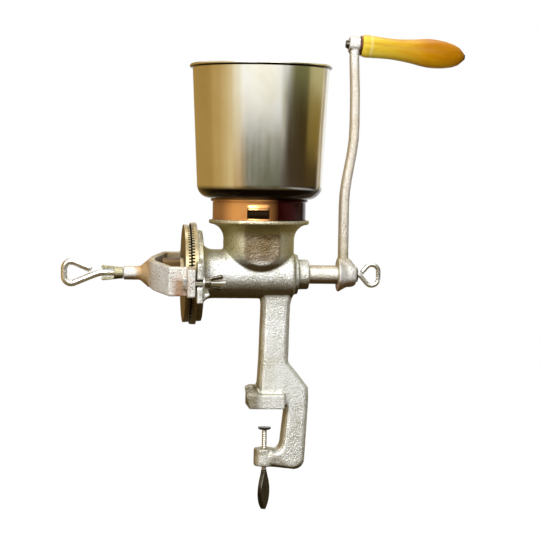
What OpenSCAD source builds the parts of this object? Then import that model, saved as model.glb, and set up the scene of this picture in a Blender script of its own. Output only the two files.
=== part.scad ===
// Hand-cranked malt mill that clamps to the edge of a table.
// X runs along the shaft towards the crank, Y away from the front, Z up.
// The origin is the middle of the jaw face that sits on the table.

/* [Table clamp] */
// Length of the upper jaw along the shaft
jaw_l = 35; // [30:1:40]
// Depth of the upper jaw from front to back
jaw_d = 40; // [30:1:56]
// Thickness of the upper jaw
jaw_t = 14; // [10:1:18]
// Height of the clamp opening, from the jaw face down to the nut boss
jaw_open = 40; // [32:1:60]
// Gap between the end of the jaw and the clamp arm
jaw_notch = 1; // [0.6:0.1:2]
// Height of the upturned toe above the jaw face
toe_h = 23; // [18:1:28]
// How far the toe stands out from the jaw
toe_out = 5; // [2:0.5:8]
// Width of the clamp arm
clamp_arm_w = 23; // [18:1:28]
// Depth of the clamp arm from front to back
clamp_arm_d = 26; // [16:1:30]
// How far the clamp arm leans in at its foot
clamp_arm_lean = 3; // [0:0.5:5]
// Radius of the nut boss
nut_boss_r = 10.4; // [8:0.2:13]
// Height of the nut boss
nut_boss_h = 17.7; // [14:0.1:24]
// Bevel along the edges of the cast bars
bevel = 4; // [1:0.5:5]

/* [Clamp screw] */
// Radius of the clamp screw
clamp_screw_r = 2.6; // [2:0.1:4]
// Height of the gap between the jaw face and the pad as it stands
pad_gap = 19.8; // [10:0.2:24]
// Radius of the pad
pad_r = 6.3; // [5:0.1:9]
// Thickness of the pad
pad_t = 2.4; // [2:0.1:4]
// Free length of the screw between the nut boss and the thumb leaf
leaf_neck = 3.5; // [3.5:0.1:12]
// Length of the thumb leaf
leaf_l = 39; // [26:1:50]
// Width of the thumb leaf
leaf_w = 22; // [14:1:30]
// Thickness of the thumb leaf
leaf_t = 4.4; // [3:0.1:5]
// Angle of the thumb leaf about the screw
leaf_turn = 62; // [0:1:90]

/* [Post and barrel] */
// Height of the shaft above the jaw face
shaft_z = 129; // [110:1:150]
// Width of the post
post_w = 27.5; // [22:0.5:32]
// Depth of the post from front to back
post_d = 26; // [18:1:32]
// Distance of the post's middle from the clamp screw
post_x = 8.5; // [4:0.5:12]
// Outer radius of the barrel
barrel_r = 23.8; // [22:0.1:27]
// Radius of the worm chamber
chamber_r = 19.5; // [18:0.1:20]
// Length of the barrel from the disc flange to its closed end
barrel_l = 95; // [85:1:110]
// Thickness of the barrel's closed end
barrel_end_t = 5; // [3:0.5:8]
// Radius of the ring at the closed end
end_ring_r = 19.5; // [16:0.5:22]
// Width of the ring at the closed end
end_ring_t = 4; // [2:0.5:6]
// Radius of the shaft bearing
bearing_r = 14.6; // [12:0.1:16]
// Length of the shaft bearing past the ring
bearing_l = 11; // [8:0.5:16]

/* [Throat] */
// Distance of the throat's middle from the clamp screw
throat_x = -8.5; // [-14:0.5:-4]
// Radius of the throat's rim
throat_r = 48.5; // [47:0.5:56]
// Height of the rim above the shaft
throat_h = 52.5; // [46:0.5:60]
// Thickness of the rim
rim_t = 4; // [3.5:0.1:6]
// Radius of the throat's waist
waist_r = 34.3; // [31:0.1:37]
// Wall of the throat
throat_wall = 4.3; // [3:0.1:6]
// Depth of the seat for the hopper
seat_h = 3.2; // [2:0.1:3.4]
// Half depth across the flats on the throat
flat_half = 29.5; // [28:0.5:33]

/* [Disc flange] */
// Distance from the clamp screw to the flange's face
flange_x = 69.5; // [64:0.5:76]
// Radius of the flange
flange_r = 44; // [38:0.5:47]
// Thickness of the flange
flange_t = 6; // [4.5:0.1:8]
// Drop of the flange's middle below the shaft
flange_drop = 2; // [0:0.5:4]
// Fillet between flange and barrel
flange_fillet = 10; // [4:0.5:14]
// Roll of the bolts and the bridge about the shaft
bridge_roll = 5; // [0:0.5:8]
// Height of the ears
ear_h = 38; // [32:1:44]
// Width of an ear outside the bolt
ear_lip = 7; // [6:0.5:10]
// Thickness of an ear
ear_t = 6; // [4:0.1:8]
// How far the ears stand in front of the flange
ear_forward = 3; // [1:0.5:4]

/* [Grinding discs] */
// Radius of the stationary disc
fixed_disc_r = 49; // [44:0.5:50]
// Thickness of the stationary disc
fixed_disc_t = 5.5; // [4.5:0.1:7]
// Radius of the rotating disc
turning_disc_r = 47; // [43:0.5:48]
// Thickness of the rotating disc
turning_disc_t = 5; // [4:0.1:7]
// Gap between the discs as they stand
disc_gap = 1.4; // [1.2:0.1:2]
// Depth of the teeth
tooth_h = 2.2; // [1:0.1:2.6]
// Number of teeth round a disc
teeth = 96; // [48:12:120]
// Number of furrows across a disc's face
furrows = 12; // [6:1:18]
// Radius of the stationary disc's feed hole
feed_r = 20.5; // [19.5:0.1:24]
// Distance of the disc screws from the shaft
disc_screw_y = 32; // [28:0.5:36]
// Radius of the disc screws
disc_screw_r = 2; // [1.5:0.1:3]

/* [Worm and shaft] */
// Radius of the worm's flight
flight_r = 18.4; // [16:0.1:18.6]
// Radius of the worm's core
core_r = 10; // [9.2:0.1:12]
// Advance of the flight in one turn
flight_pitch = 24; // [18:1:32]
// Radius of the shaft
shaft_r = 9; // [7:0.1:10]
// Length of shaft that shows between the bearing and the crank
shaft_free = 28; // [20:1:36]
// Side of the square end that carries the crank
square_w = 11; // [8:0.5:12]
// Radius of the journal that carries the rotating disc
journal_r = 8; // [6:0.1:9]
// Radius of the rotating disc's hub
disc_hub_r = 15; // [11:0.5:16]
// Length of the rotating disc's hub
disc_hub_l = 20; // [14:0.5:22]
// Radius of the drive pin
drive_pin_r = 2.6; // [2:0.1:3.5]
// Length of the drive pin
drive_pin_l = 32; // [28:1:36]
// Angle of the drive pin about the shaft
drive_pin_turn = 35; // [0:1:90]
// Radius of the thrust ball
ball_r = 4; // [3:0.1:5]

/* [Bridge] */
// Distance between the flange's face and the bridge's boss
bridge_reach = 53; // [50:0.5:60]
// Thickness of the bridge's arms
bridge_arm_t = 7; // [6:0.5:10]
// Height of the bridge's arms
bridge_arm_h = 28; // [22:1:34]
// Thickness of the bridge's feet
bridge_foot_t = 8; // [6:0.5:10]
// Gap between the bridge's feet and the ears
foot_gap = 1; // [0.5:0.1:2]
// Thickness of the bridge's middle
crossbar_t = 8; // [7:0.5:10]
// How far the bridge's arms sweep back from its middle
bridge_sweep = 18; // [10:0.5:22]
// Radius of the bridge's boss
bridge_boss_r = 6.8; // [6:0.1:9]
// Length of the bridge's boss
bridge_boss_l = 16; // [10:0.5:22]
// Rounding of the arms' outer corners
bridge_corner = 7; // [3:0.5:10]
// Radius of the bridge bolts
bolt_r = 2.75; // [2:0.05:3.5]
// Length of bolt past the back of the ears
bolt_tail = 21; // [18:0.5:30]
// Half width across a bolt's square head
bolt_head = 5; // [4:0.1:6]
// Thickness of a bolt's head
bolt_head_t = 4; // [2.5:0.1:5]
// Radius of the washers
washer_r = 6.5; // [5.5:0.1:8]
// Thickness of the washers
washer_t = 1.4; // [1:0.1:2]

/* [Adjusting screw] */
// Radius of the adjusting screw's rod
adjust_r = 3.2; // [2.5:0.1:4]
// Radius of its eye, to the middle of the rod
adjust_eye_r = 10.4; // [8:0.1:14]
// Distance from the start of the eye to its middle
adjust_eye_d = 22.5; // [16:0.5:26]
// Free length of rod between the lock nut and the eye
adjust_free = 2.5; // [2.5:0.5:8]
// Radius of the lock nut
lock_nut_r = 5.6; // [5:0.1:7]
// Length of the lock nut's collar
lock_nut_l = 8.5; // [6:0.5:12]
// Length of the lock nut's wings
lock_wing_l = 12; // [8:0.5:16]
// Height of the lock nut's wings from the rod's middle
lock_wing_h = 7.4; // [6:0.1:10]

/* [Wing nuts] */
// Radius of the wing nuts
wing_nut_r = 5; // [4.5:0.1:7]
// Length of the wing nuts' collars
wing_nut_l = 6; // [4:0.5:9]
// Length of the wings
wing_l = 11; // [7:0.5:14]
// Height of the wings from the bolt's middle
wing_h = 8.5; // [7:0.1:12]
// Thickness of all wings
wing_t = 2.6; // [2:0.1:4]
// Angle of the wings about the bolt
wing_turn = 24; // [0:1:90]

/* [Crank] */
// Distance from the shaft to the grip
crank_r = 222.5; // [190:0.5:240]
// Length of the crank's hub
crank_hub_l = 18.5; // [15:0.5:20]
// Radius of the crank's hub
crank_hub_r = 12; // [11:0.1:14]
// Radius of the hub's collar
crank_collar_r = 16.5; // [14:0.1:20]
// Sideways step of the arm
crank_step = 9; // [0:0.5:14]
// Height above the shaft where the step starts
step_low = 68; // [50:1:90]
// Height above the shaft where the step ends
step_high = 142; // [110:1:170]
// Thickness of the arm
crank_t = 8.8; // [6:0.1:11]
// Width of the arm at the hub
crank_w_low = 19; // [14:0.5:22]
// Width of the arm at the head
crank_w_high = 13; // [10:0.5:16]
// Radius of the head
crank_head_r = 7.9; // [6:0.1:10]
// Length of the head
crank_head_l = 11; // [8:0.1:14]
// Radius of the crank screw's rod
crank_screw_r = 2.3; // [2:0.1:3]
// Depth of the crank screw in the shaft
crank_screw_in = 18; // [10:1:24]
// Radius of the crank screw's eye, to the middle of the rod
crank_eye_r = 10.1; // [8:0.1:12]
// Distance from the start of the eye to its middle
crank_eye_d = 8.1; // [7.5:0.1:18]

/* [Grip] */
// Length of the grip
grip_l = 100; // [80:1:120]
// Largest radius of the grip
grip_r = 13.9; // [11:0.1:16]
// Radius at the grip's waist
grip_waist_r = 10.1; // [8:0.1:11]
// Radius at the grip's foot
grip_foot_r = 11.1; // [9:0.1:13]
// Droop of the grip
grip_droop = 5; // [0:0.5:7]
// Radius of the spindle
spindle_r = 3; // [2:0.1:4]
// Radius of the spindle's riveted head
rivet_r = 4.8; // [4.2:0.1:6]
// Height of the spindle's riveted head
rivet_h = 3; // [2:0.1:5]

/* [Hopper] */
// Radius of the bowl under its rim
bowl_top_r = 65.8; // [62:0.2:68]
// Radius of the bowl at its shoulder
bowl_low_r = 60.3; // [56:0.2:64]
// Height of the bowl from its floor to its rim
bowl_h = 126; // [90:1:134]
// Radius of the rounded shoulder
shoulder_r = 13.5; // [8:0.5:14]
// Thickness of the sheet
sheet_t = 0.8; // [0.6:0.1:1.2]
// Radius of the rolled rim
roll_r = 2.1; // [1.5:0.1:2.6]
// Radius of the neck
neck_r = 44.9; // [44:0.1:45]
// Height of the neck above the throat's rim
neck_h = 20; // [17:0.5:28]
// Height of the bead under the bowl
bead_h = 3; // [2:0.1:4]
// How far the bead stands out from the neck
bead_out = 1.9; // [1.2:0.1:2.6]
// Width of the locking tabs
tab_w = 21; // [12:0.5:24]
// Height of the slots under the locking tabs
tab_h = 8; // [4:0.5:9]
// Number of locking tabs
tabs = 3; // [2:1:5]
// Angle of the tabs about the hopper's middle
tab_turn = -7; // [-20:1:20]

/* [Fits] */
// Radial clearance of turning and screwing fits
run_clear = 0.06; // [0.02:0.01:0.1]
// Gap between faces that pass each other
face_gap = 0.3; // [0.2:0.05:0.6]
// Clearance of the hopper in its seat
hopper_clear = 0.3; // [0.2:0.05:0.6]
// Clearance of the bolts in their slots
slot_clear = 0.4; // [0.2:0.05:0.8]

/* [Hidden] */
$fn = 96;

// How far the worm may screw along the shaft either way, and room round the discs
adjust_in = 1;
adjust_out = 3.75;
disc_room = 1.2;

// Stations along the shaft, from the eye of the adjusting screw to the crank
flange_face = -flange_x;
flange_back = flange_face + flange_t;
ear_face = flange_face - ear_forward;
ear_back = ear_face + ear_t;
fixed_disc_face = flange_face - fixed_disc_t;
turning_disc_face = fixed_disc_face - disc_gap;
turning_disc_back = turning_disc_face - turning_disc_t;
disc_hub_end = turning_disc_back - disc_hub_l;
journal_end = disc_hub_end - 1.5;
ball_x = journal_end - ball_r / 3;
adjust_tip = ball_x - ball_r - run_clear;
boss_inner = flange_face - bridge_reach;
web_x = boss_inner + 6.5;
boss_outer = boss_inner - bridge_boss_l;
lock_nut_face = boss_outer - face_gap;
lock_wing_start = lock_nut_face - lock_nut_l;
adjust_eye_x = lock_wing_start - lock_wing_l - adjust_free;
barrel_end = flange_face + barrel_l;
chamber_end = barrel_end - barrel_end_t;
bearing_end = barrel_end + end_ring_t + bearing_l;
crank_x = bearing_end + shaft_free;
crank_end = crank_x + crank_hub_l;
crank_eye_x = crank_end + washer_t + face_gap + crank_screw_r;

// Places of the bridge's arms and bolts outside the discs
arm_in = max(fixed_disc_r, turning_disc_r) + disc_room;
arm_out = arm_in + bridge_arm_t;
bolt_y = arm_out + bolt_head + face_gap;
ear_end = bolt_y + ear_lip;
foot_face = ear_face - foot_gap;
foot_back = foot_face - bridge_foot_t;
washer_x = ear_back + run_clear;
wing_nut_x = washer_x + washer_t + run_clear;

// Place and depth of the drive pin's slot in the rotating disc's hub
pin_in = 7;
pin_x = disc_hub_end + pin_in;

// Ends of the worm's flight
flight_start = fixed_disc_face + 1;
flight_end = chamber_end - adjust_in - 1;

// Heights of the throat and hopper
rim_top = shaft_z + throat_h;
rim_low = rim_top - rim_t;
flare_r = throat_r - waist_r;
flare_z = rim_low - flare_r;
bowl_mid_z = flare_z - 11;
bowl_bottom_z = shaft_z - 4;
seat_z = rim_top - seat_h;
floor_z = rim_top + neck_h + sheet_t;
bead_top = floor_z - sheet_t;
tab_low = rim_top + 1.5;

// Heights of the clamp
boss_top = -jaw_open;
boss_low = boss_top - nut_boss_h;
arm_low = boss_low - 2.3;
arm_shelf = boss_top - 2;
arm_inner_top = jaw_l / 2 + jaw_notch;
arm_inner_low = arm_inner_top - clamp_arm_lean;
arm_inner_r = 9;
arm_outer_r = 10;
leaf_top = boss_low - leaf_neck;

// Places of the crank's head and grip
crank_mid = crank_x + crank_t / 2 + 1.2;
head_back = 1.5;
head_x = crank_mid + crank_step - head_back;
head_z = shaft_z + crank_r;
washer_seat = crank_head_l / 2;
grip_start = washer_seat + washer_t + face_gap;
grip_end = grip_start + grip_l;

// A point of the XZ plane pushed to a distance along a direction
function polar(r, a) = [r * cos(a), r * sin(a)];

// Beveled section between two points of the XZ plane, as a ring of eight corners
function bar_ring(p, q, d, c) =
    let (l = norm(q - p), u = (q - p) / l, h = d / 2)
    [for (s = [[0, c - h], [c, -h], [l - c, -h], [l, c - h], [l, h - c], [l - c, h], [c, h], [0, h - c]])
        [p.x + u.x * s.x, s.y, p.y + u.y * s.x]];

// Beveled level section of a post, as a ring of eight corners
function post_ring(x0, x1, z, d, c) =
    let (h = d / 2)
    [for (s = [[x0, c - h], [x0 + c, -h], [x1 - c, -h], [x1, c - h],
               [x1, h - c], [x1 - c, h], [x0 + c, h], [x0, h - c]])
        [s.x, s.y, z]];

// Direction of a path of the XZ plane at one of its points
function heading(path, i) =
    let (v = path[min(i + 1, len(path) - 1)] - path[max(i - 1, 0)])
    v / norm(v);

// Round ring of a wire at one point of its path
function wire_ring(path, i, r, sides = 10) =
    let (t = heading(path, i), n = [-t.y, t.x])
    [for (k = [0 : sides - 1])
        let (c = r * cos(360 * k / sides), s = r * sin(360 * k / sides))
        [path[i].x + n.x * c, s, path[i].y + n.y * c]];

// Path of a bent eye: out of its rod at [0, 0], round two corners and back until it meets the rod
function eye_path(d, r, wire, steps = 9) =
    let (
        corner = 0.65 * r,
        mid = [d + r - corner, r - corner],
        reach = sqrt(mid * mid - corner * corner),
        lean = atan2(mid.y, mid.x) + asin(corner / norm(mid)),
        sweep = 90 + lean,
        bend = 0.4,
        tail = (wire + face_gap) / sin(lean)
    )
    concat(
        [[-2.2 * wire, 0]],
        [for (t = [0 : 0.25 : 1]) pow(1 - t, 2) * [-wire, 0] + t * t * bend * polar(reach, -lean)],
        [for (k = [0 : steps]) [mid.x, -mid.y] + polar(corner, sweep * (k / steps - 1))],
        [for (k = [0 : steps]) mid + polar(corner, sweep * k / steps)],
        [polar(tail, lean)]
    );

// Radius of a smooth turned profile at a place along it, through rows of [place, radius]
function turned_r(rows, x, i = 0) =
    (i > len(rows) - 3 || x <= rows[i + 1].x)
        ? let (
            a = rows[max(i - 1, 0)].y,
            b = rows[i].y,
            c = rows[i + 1].y,
            d = rows[min(i + 2, len(rows) - 1)].y,
            t = (x - rows[i].x) / (rows[i + 1].x - rows[i].x)
        )
        b + t * ((c - a) / 2 + t * (a - 2.5 * b + 2 * c - d / 2 + t * (1.5 * (b - c) + (d - a) / 2)))
        : turned_r(rows, x, i + 1);

// Smooth step from 0 to 1
function ease(t) = let (s = min(max(t, 0), 1)) s * s * (3 - 2 * s);

// Solid skin over a row of rings
module loft(rings) {
    n = len(rings[0]);
    m = len(rings);
    sides = [for (i = [0 : m - 2], j = [0 : n - 1])
        let (k = (j + 1) % n)
        each [[i * n + j, i * n + k, (i + 1) * n + k], [i * n + j, (i + 1) * n + k, (i + 1) * n + j]]];
    first = [for (j = [1 : n - 2]) [0, j + 1, j]];
    last = [for (j = [1 : n - 2]) [(m - 1) * n, (m - 1) * n + j, (m - 1) * n + j + 1]];
    polyhedron([for (ring = rings) each ring], concat(sides, first, last));
}

// Places children on the shaft with their Z along it
module along_shaft(x) {
    translate([x, 0, shaft_z]) rotate([0, 90, 0]) children();
}

// Places children on a bridge bolt with their Z along it, in front for side -1 and behind for side 1
module along_bolt(x, side) {
    translate([0, 0, shaft_z]) rotate([bridge_roll, 0, 0])
        translate([x, side * bolt_y, 0]) rotate([0, 90, 0]) children();
}

// Places children in the rolled frame of the bridge
module on_bridge() {
    translate([0, 0, shaft_z]) rotate([bridge_roll, 0, 0]) children();
}

// Places children on the grip's spindle with their Z along it
module along_grip(x) {
    translate([head_x, 0, head_z]) rotate([0, 90 + grip_droop, 0]) translate([0, 0, x]) children();
}

// Room between the flats of the throat, inset for its inside
module throat_flats(inset) {
    reach = throat_r + 0.5;
    span = reach - flat_half + inset;
    rise = flare_r + inset;
    side = concat(
        [[reach - span, bowl_bottom_z - 1]],
        [for (a = [0 : 15 : 90]) [reach - span * cos(a), flare_z + rise * sin(a)]],
        [[reach, rim_top + rise]]
    );
    far = [for (k = [len(side) - 1 : -1 : 0]) [-side[k].x, side[k].y]];
    translate([throat_x - reach, 0, 0]) rotate([90, 0, 90])
        linear_extrude(2 * reach) polygon(concat(side, far));
}

// Outside of the throat: round bottom, waist, flare and rim
module throat_outside() {
    low = bowl_mid_z - bowl_bottom_z;
    bottom = [for (a = [0 : 9 : 90]) [waist_r * sin(a), bowl_mid_z - low * cos(a)]];
    flare = [for (a = [0 : 15 : 90]) [throat_r - flare_r * cos(a), flare_z + flare_r * sin(a)]];
    intersection() {
        translate([throat_x, 0, 0]) rotate_extrude()
            polygon(concat(bottom, flare, [[throat_r, rim_top], [0, rim_top]]));
        throat_flats(0);
    }
}

// Inside of the throat: feed funnel and the hopper's seat
module throat_inside() {
    inner_r = waist_r - throat_wall;
    low = bowl_mid_z - shaft_z;
    flare_in = flare_r + throat_wall;
    top = asin((seat_z - flare_z) / flare_in);
    steps = 4;
    seat_r = neck_r + hopper_clear;
    bottom = [for (a = [0 : 9 : 90]) [inner_r * sin(a), bowl_mid_z - low * cos(a)]];
    flare = [for (k = [0 : steps])
        [throat_r - flare_in * cos(top * k / steps), flare_z + flare_in * sin(top * k / steps)]];
    intersection() {
        translate([throat_x, 0, 0]) rotate_extrude()
            polygon(concat(bottom, flare, [[0, seat_z]]));
        throat_flats(throat_wall);
    }
    translate([throat_x, 0, seat_z]) cylinder(r = seat_r, h = seat_h + 1);
}

// Barrel with its flange fillet, closed end and bearing
module barrel_outside() {
    fillet = [for (a = [0 : 15 : 90])
        [barrel_r + flange_fillet * (1 - sin(a)), flange_back + flange_fillet * (1 - cos(a))]];
    along_shaft(0) rotate_extrude()
        polygon(concat(
            [[0, flange_face + 1], [barrel_r + flange_fillet, flange_face + 1]],
            fillet,
            [[barrel_r, barrel_end - 2], [barrel_r - 2, barrel_end], [end_ring_r, barrel_end],
             [end_ring_r, barrel_end + end_ring_t], [bearing_r, barrel_end + end_ring_t],
             [bearing_r, bearing_end - 1], [bearing_r - 1, bearing_end], [0, bearing_end]]
        ));
}

// Ears that take the bridge bolts in open slots
module ears() {
    web_in = flange_r - 10;
    slot_r = bolt_r + slot_clear;
    rib_l = 7;
    rib_low = -ear_h / 2;
    rib_top = rib_low + ear_h / 4;
    on_bridge() for (side = [-1, 1]) scale([1, side, 1]) difference() {
        union() {
            translate([flange_face, web_in, rib_low])
                cube([ear_back - flange_face, ear_end - web_in, ear_h]);
            translate([ear_face, arm_in, rib_low]) cube([ear_t, ear_end - arm_in, ear_h]);
            translate([0, bolt_y, 0]) rotate([90, 0, 0]) linear_extrude(bolt_y - web_in)
                polygon([[ear_back - 1, rib_low], [ear_back + rib_l, rib_top - 3],
                         [ear_back + rib_l, rib_top], [ear_back - 1, rib_top]]);
        }
        translate([ear_face - 1, bolt_y, 0]) rotate([0, 90, 0]) cylinder(r = slot_r, h = ear_t + 2);
        translate([ear_face - 1, bolt_y, -slot_r]) cube([ear_t + 2, ear_lip + 1, 2 * slot_r]);
    }
}

// Post between the barrel and the jaw
module post() {
    left = post_x - post_w / 2;
    right = post_x + post_w / 2;
    barrel_low = shaft_z - barrel_r;
    loft([
        post_ring(left - 5, right + 6, barrel_low + 12, post_d + 6, bevel),
        post_ring(left - 1, right + 1.5, barrel_low + 1, post_d + 1, bevel),
        post_ring(left, right, barrel_low - 6, post_d, bevel),
        post_ring(left - 1.5, right - 1, jaw_t + 30, post_d, bevel),
        post_ring(left - 3, right - 1, jaw_t + 4, post_d + 1, bevel),
        post_ring(left - 4, right - 1, 3, post_d + 5, bevel)
    ]);
}

// Clamp arm from the post down and round to the nut boss
module clamp_arm() {
    outer_top = arm_inner_top + clamp_arm_w;
    outer_low = arm_inner_low + clamp_arm_w;
    inner_mid = [arm_inner_low - arm_inner_r, arm_shelf + arm_inner_r];
    outer_mid = [outer_low - arm_outer_r, arm_low + arm_outer_r];
    loft(concat(
        [
            bar_ring([post_x - 9, jaw_t / 2], [post_x + post_w / 2 - 4, jaw_t + 34], clamp_arm_d, bevel),
            bar_ring([post_x, 6], [post_x + post_w / 2 + 8, jaw_t + 20], clamp_arm_d, bevel),
            bar_ring([arm_inner_top, 3], [outer_top - 0.5, jaw_t + 6], clamp_arm_d, bevel),
            bar_ring([arm_inner_top, -4], [outer_top, jaw_t - 6], clamp_arm_d, bevel)
        ],
        [for (a = [0 : -18 : -90])
            bar_ring(inner_mid + polar(arm_inner_r, a), outer_mid + polar(arm_outer_r, a),
                     clamp_arm_d, bevel)],
        [bar_ring([0, arm_shelf], [0, boss_low + face_gap], 2 * nut_boss_r - 2, bevel)]
    ));
}

// Upturned toe at the free end of the jaw
module toe() {
    tip = -jaw_l / 2 - toe_out;
    root = post_x - post_w / 2 - 2;
    lift = 0.8;
    top_l = 8;
    turn = 7.5;
    drop = 3;
    front = [[-jaw_l / 2 - 0.5, lift], [root, lift], [root, jaw_t - 1], [tip + top_l, toe_h], [tip, toe_h]];
    back = [[-jaw_l / 2 + 5, lift], [root, lift], [root, jaw_t - 1],
            [tip + turn + top_l, toe_h - drop], [tip + turn, toe_h - drop]];
    loft([
        [for (p = front) [p.x, 1 - jaw_d / 2, p.y]],
        [for (p = back) [p.x, jaw_d / 2 - 1, p.y]]
    ]);
}

// The casting that holds everything
module body_casting() {
    color("#b9b3a2") difference() {
        union() {
            throat_outside();
            barrel_outside();
            along_shaft(flange_face) translate([flange_drop, 0, 0]) cylinder(r = flange_r, h = flange_t);
            ears();
            post();
            clamp_arm();
            toe();
            translate([-jaw_l / 2, -jaw_d / 2, 0]) cube([jaw_l, jaw_d, jaw_t]);
            translate([0, 0, boss_low]) cylinder(r = nut_boss_r, h = nut_boss_h);
        }
        throat_inside();
        along_shaft(flange_face - 1) cylinder(r = chamber_r, h = chamber_end - flange_face + 1);
        along_shaft(chamber_end - 1) cylinder(r = shaft_r + run_clear, h = bearing_end - chamber_end + 2);
        translate([0, 0, boss_low - 1]) cylinder(r = clamp_screw_r + run_clear, h = nut_boss_h + 2);
        for (side = [-1, 1])
            along_shaft(flange_face - 1) translate([0, side * disc_screw_y, 0])
                cylinder(r = disc_screw_r + run_clear, h = flange_t + 2);
    }
}

// Drawn bowl with a rolled rim
module hopper_bowl() {
    rim_z = floor_z + bowl_h;
    shoulder_z = floor_z - sheet_t + shoulder_r;
    hole_r = neck_r + run_clear;
    mid_r = bowl_low_r - shoulder_r;
    outer = [for (a = [0 : 9 : 90]) [mid_r + shoulder_r * sin(a), shoulder_z - shoulder_r * cos(a)]];
    inner_r = shoulder_r - sheet_t;
    inner = [for (a = [90 : -9 : 0]) [mid_r + inner_r * sin(a), shoulder_z - inner_r * cos(a)]];
    color("#bcae8c") translate([throat_x, 0, 0]) {
        rotate_extrude() polygon(concat(
            [[hole_r, floor_z - sheet_t]], outer, [[bowl_top_r, rim_z], [bowl_top_r - sheet_t, rim_z]],
            inner, [[hole_r, floor_z]]
        ));
        rotate_extrude() translate([bowl_top_r + roll_r / 3, rim_z]) circle(r = roll_r, $fn = 32);
    }
}

// Sheet collar with a bead under the bowl and lanced tabs
module hopper_neck() {
    bore_r = neck_r - sheet_t;
    bead_r = neck_r + bead_out;
    bead_low = bead_top - bead_h;
    lip_z = floor_z + 1.2;
    hood_r = neck_r + 1.6;
    hood_z = tab_low + tab_h;
    hood_h = 5;
    color("#a8683a") translate([throat_x, 0, 0]) rotate(tab_turn) {
        difference() {
            rotate_extrude() polygon([
                [bore_r, seat_z + run_clear], [neck_r, seat_z + run_clear], [neck_r, bead_low],
                [bead_r - 0.7, bead_low + 0.4], [bead_r, bead_low + 1.1], [bead_r, bead_top - 0.5],
                [bead_r - 0.5, bead_top], [neck_r, bead_top], [neck_r, lip_z], [bore_r, lip_z]
            ]);
            for (i = [0 : tabs - 1]) rotate(360 * i / tabs)
                translate([-tab_w / 2, -bead_r, tab_low]) cube([tab_w, bead_r / 2, tab_h]);
        }
        intersection() {
            rotate_extrude() polygon([
                [neck_r - sheet_t / 2, hood_z - 0.1], [hood_r - 0.8, hood_z - 0.1], [hood_r, hood_z + 0.6],
                [neck_r - sheet_t / 2, hood_z + hood_h]
            ]);
            for (i = [0 : tabs - 1]) rotate(360 * i / tabs)
                translate([-tab_w / 2, -bead_r, tab_low]) cube([tab_w, bead_r / 2, 3 * tab_h]);
        }
    }
}

// Corners of a toothed outline
function tooth_outline(r, n) =
    let (step = 360 / n, root = r - tooth_h)
    [for (i = [0 : n - 1]) each [
        polar(r, i * step), polar(r, (i + 0.5) * step),
        polar(root, (i + 0.65) * step), polar(root, (i + 0.85) * step)
    ]];

// Toothed layer of a grinding disc with its furrows
module teeth_layer(r) {
    tooth_inset = 0.25;
    furrow_w = 1.6;
    difference() {
        linear_extrude(tooth_h) polygon(tooth_outline(r - tooth_inset, teeth));
        for (i = [0 : furrows - 1])
            rotate(360 * (i + 0.5) / furrows) translate([feed_r + 2, furrow_w, tooth_h / 2])
                cube([r, furrow_w, tooth_h]);
    }
}

// Grinding disc that stays on the flange
module stationary_disc() {
    head_r = 2 * disc_screw_r;
    color("#9a958a") along_shaft(fixed_disc_face) difference() {
        union() {
            translate([0, 0, tooth_h]) cylinder(r = fixed_disc_r, h = fixed_disc_t - tooth_h);
            translate([0, 0, tooth_h]) mirror([0, 0, 1]) teeth_layer(fixed_disc_r);
        }
        translate([0, 0, -1]) cylinder(r = feed_r, h = fixed_disc_t + 2);
        for (side = [-1, 1]) translate([0, side * disc_screw_y, 0]) {
            translate([0, 0, -1]) cylinder(r = disc_screw_r + run_clear, h = fixed_disc_t + 2);
            translate([0, 0, -1]) cylinder(r = head_r + run_clear, h = tooth_h + 2);
        }
    }
}

// Flat-headed screws that hold the stationary disc
module disc_screws() {
    head_r = 2 * disc_screw_r;
    color("#7d7a74") for (side = [-1, 1])
        along_shaft(fixed_disc_face) translate([0, side * disc_screw_y, tooth_h + 1]) {
            translate([0, 0, -0.8]) cylinder(r = head_r, h = 0.8);
            translate([0, 0, -0.4]) cylinder(r = disc_screw_r, h = fixed_disc_t + flange_t - tooth_h - 1);
        }
}

// Grinding disc that turns with the worm
module rotating_disc() {
    slot_w = 2 * (drive_pin_r + run_clear);
    color("#9a958a") along_shaft(disc_hub_end) difference() {
        union() {
            cylinder(r = disc_hub_r, h = disc_hub_l + 1);
            translate([0, 0, disc_hub_l]) cylinder(r = turning_disc_r, h = turning_disc_t - tooth_h);
            translate([0, 0, disc_hub_l + turning_disc_t - tooth_h]) teeth_layer(turning_disc_r);
        }
        translate([0, 0, -1]) cylinder(r = journal_r + run_clear, h = disc_hub_l + turning_disc_t + 2);
        rotate(drive_pin_turn) translate([-slot_w / 2, -disc_hub_r - 1, -1])
            cube([slot_w, 2 * disc_hub_r + 2, pin_in + drive_pin_r + run_clear + 1]);
    }
}

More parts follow.
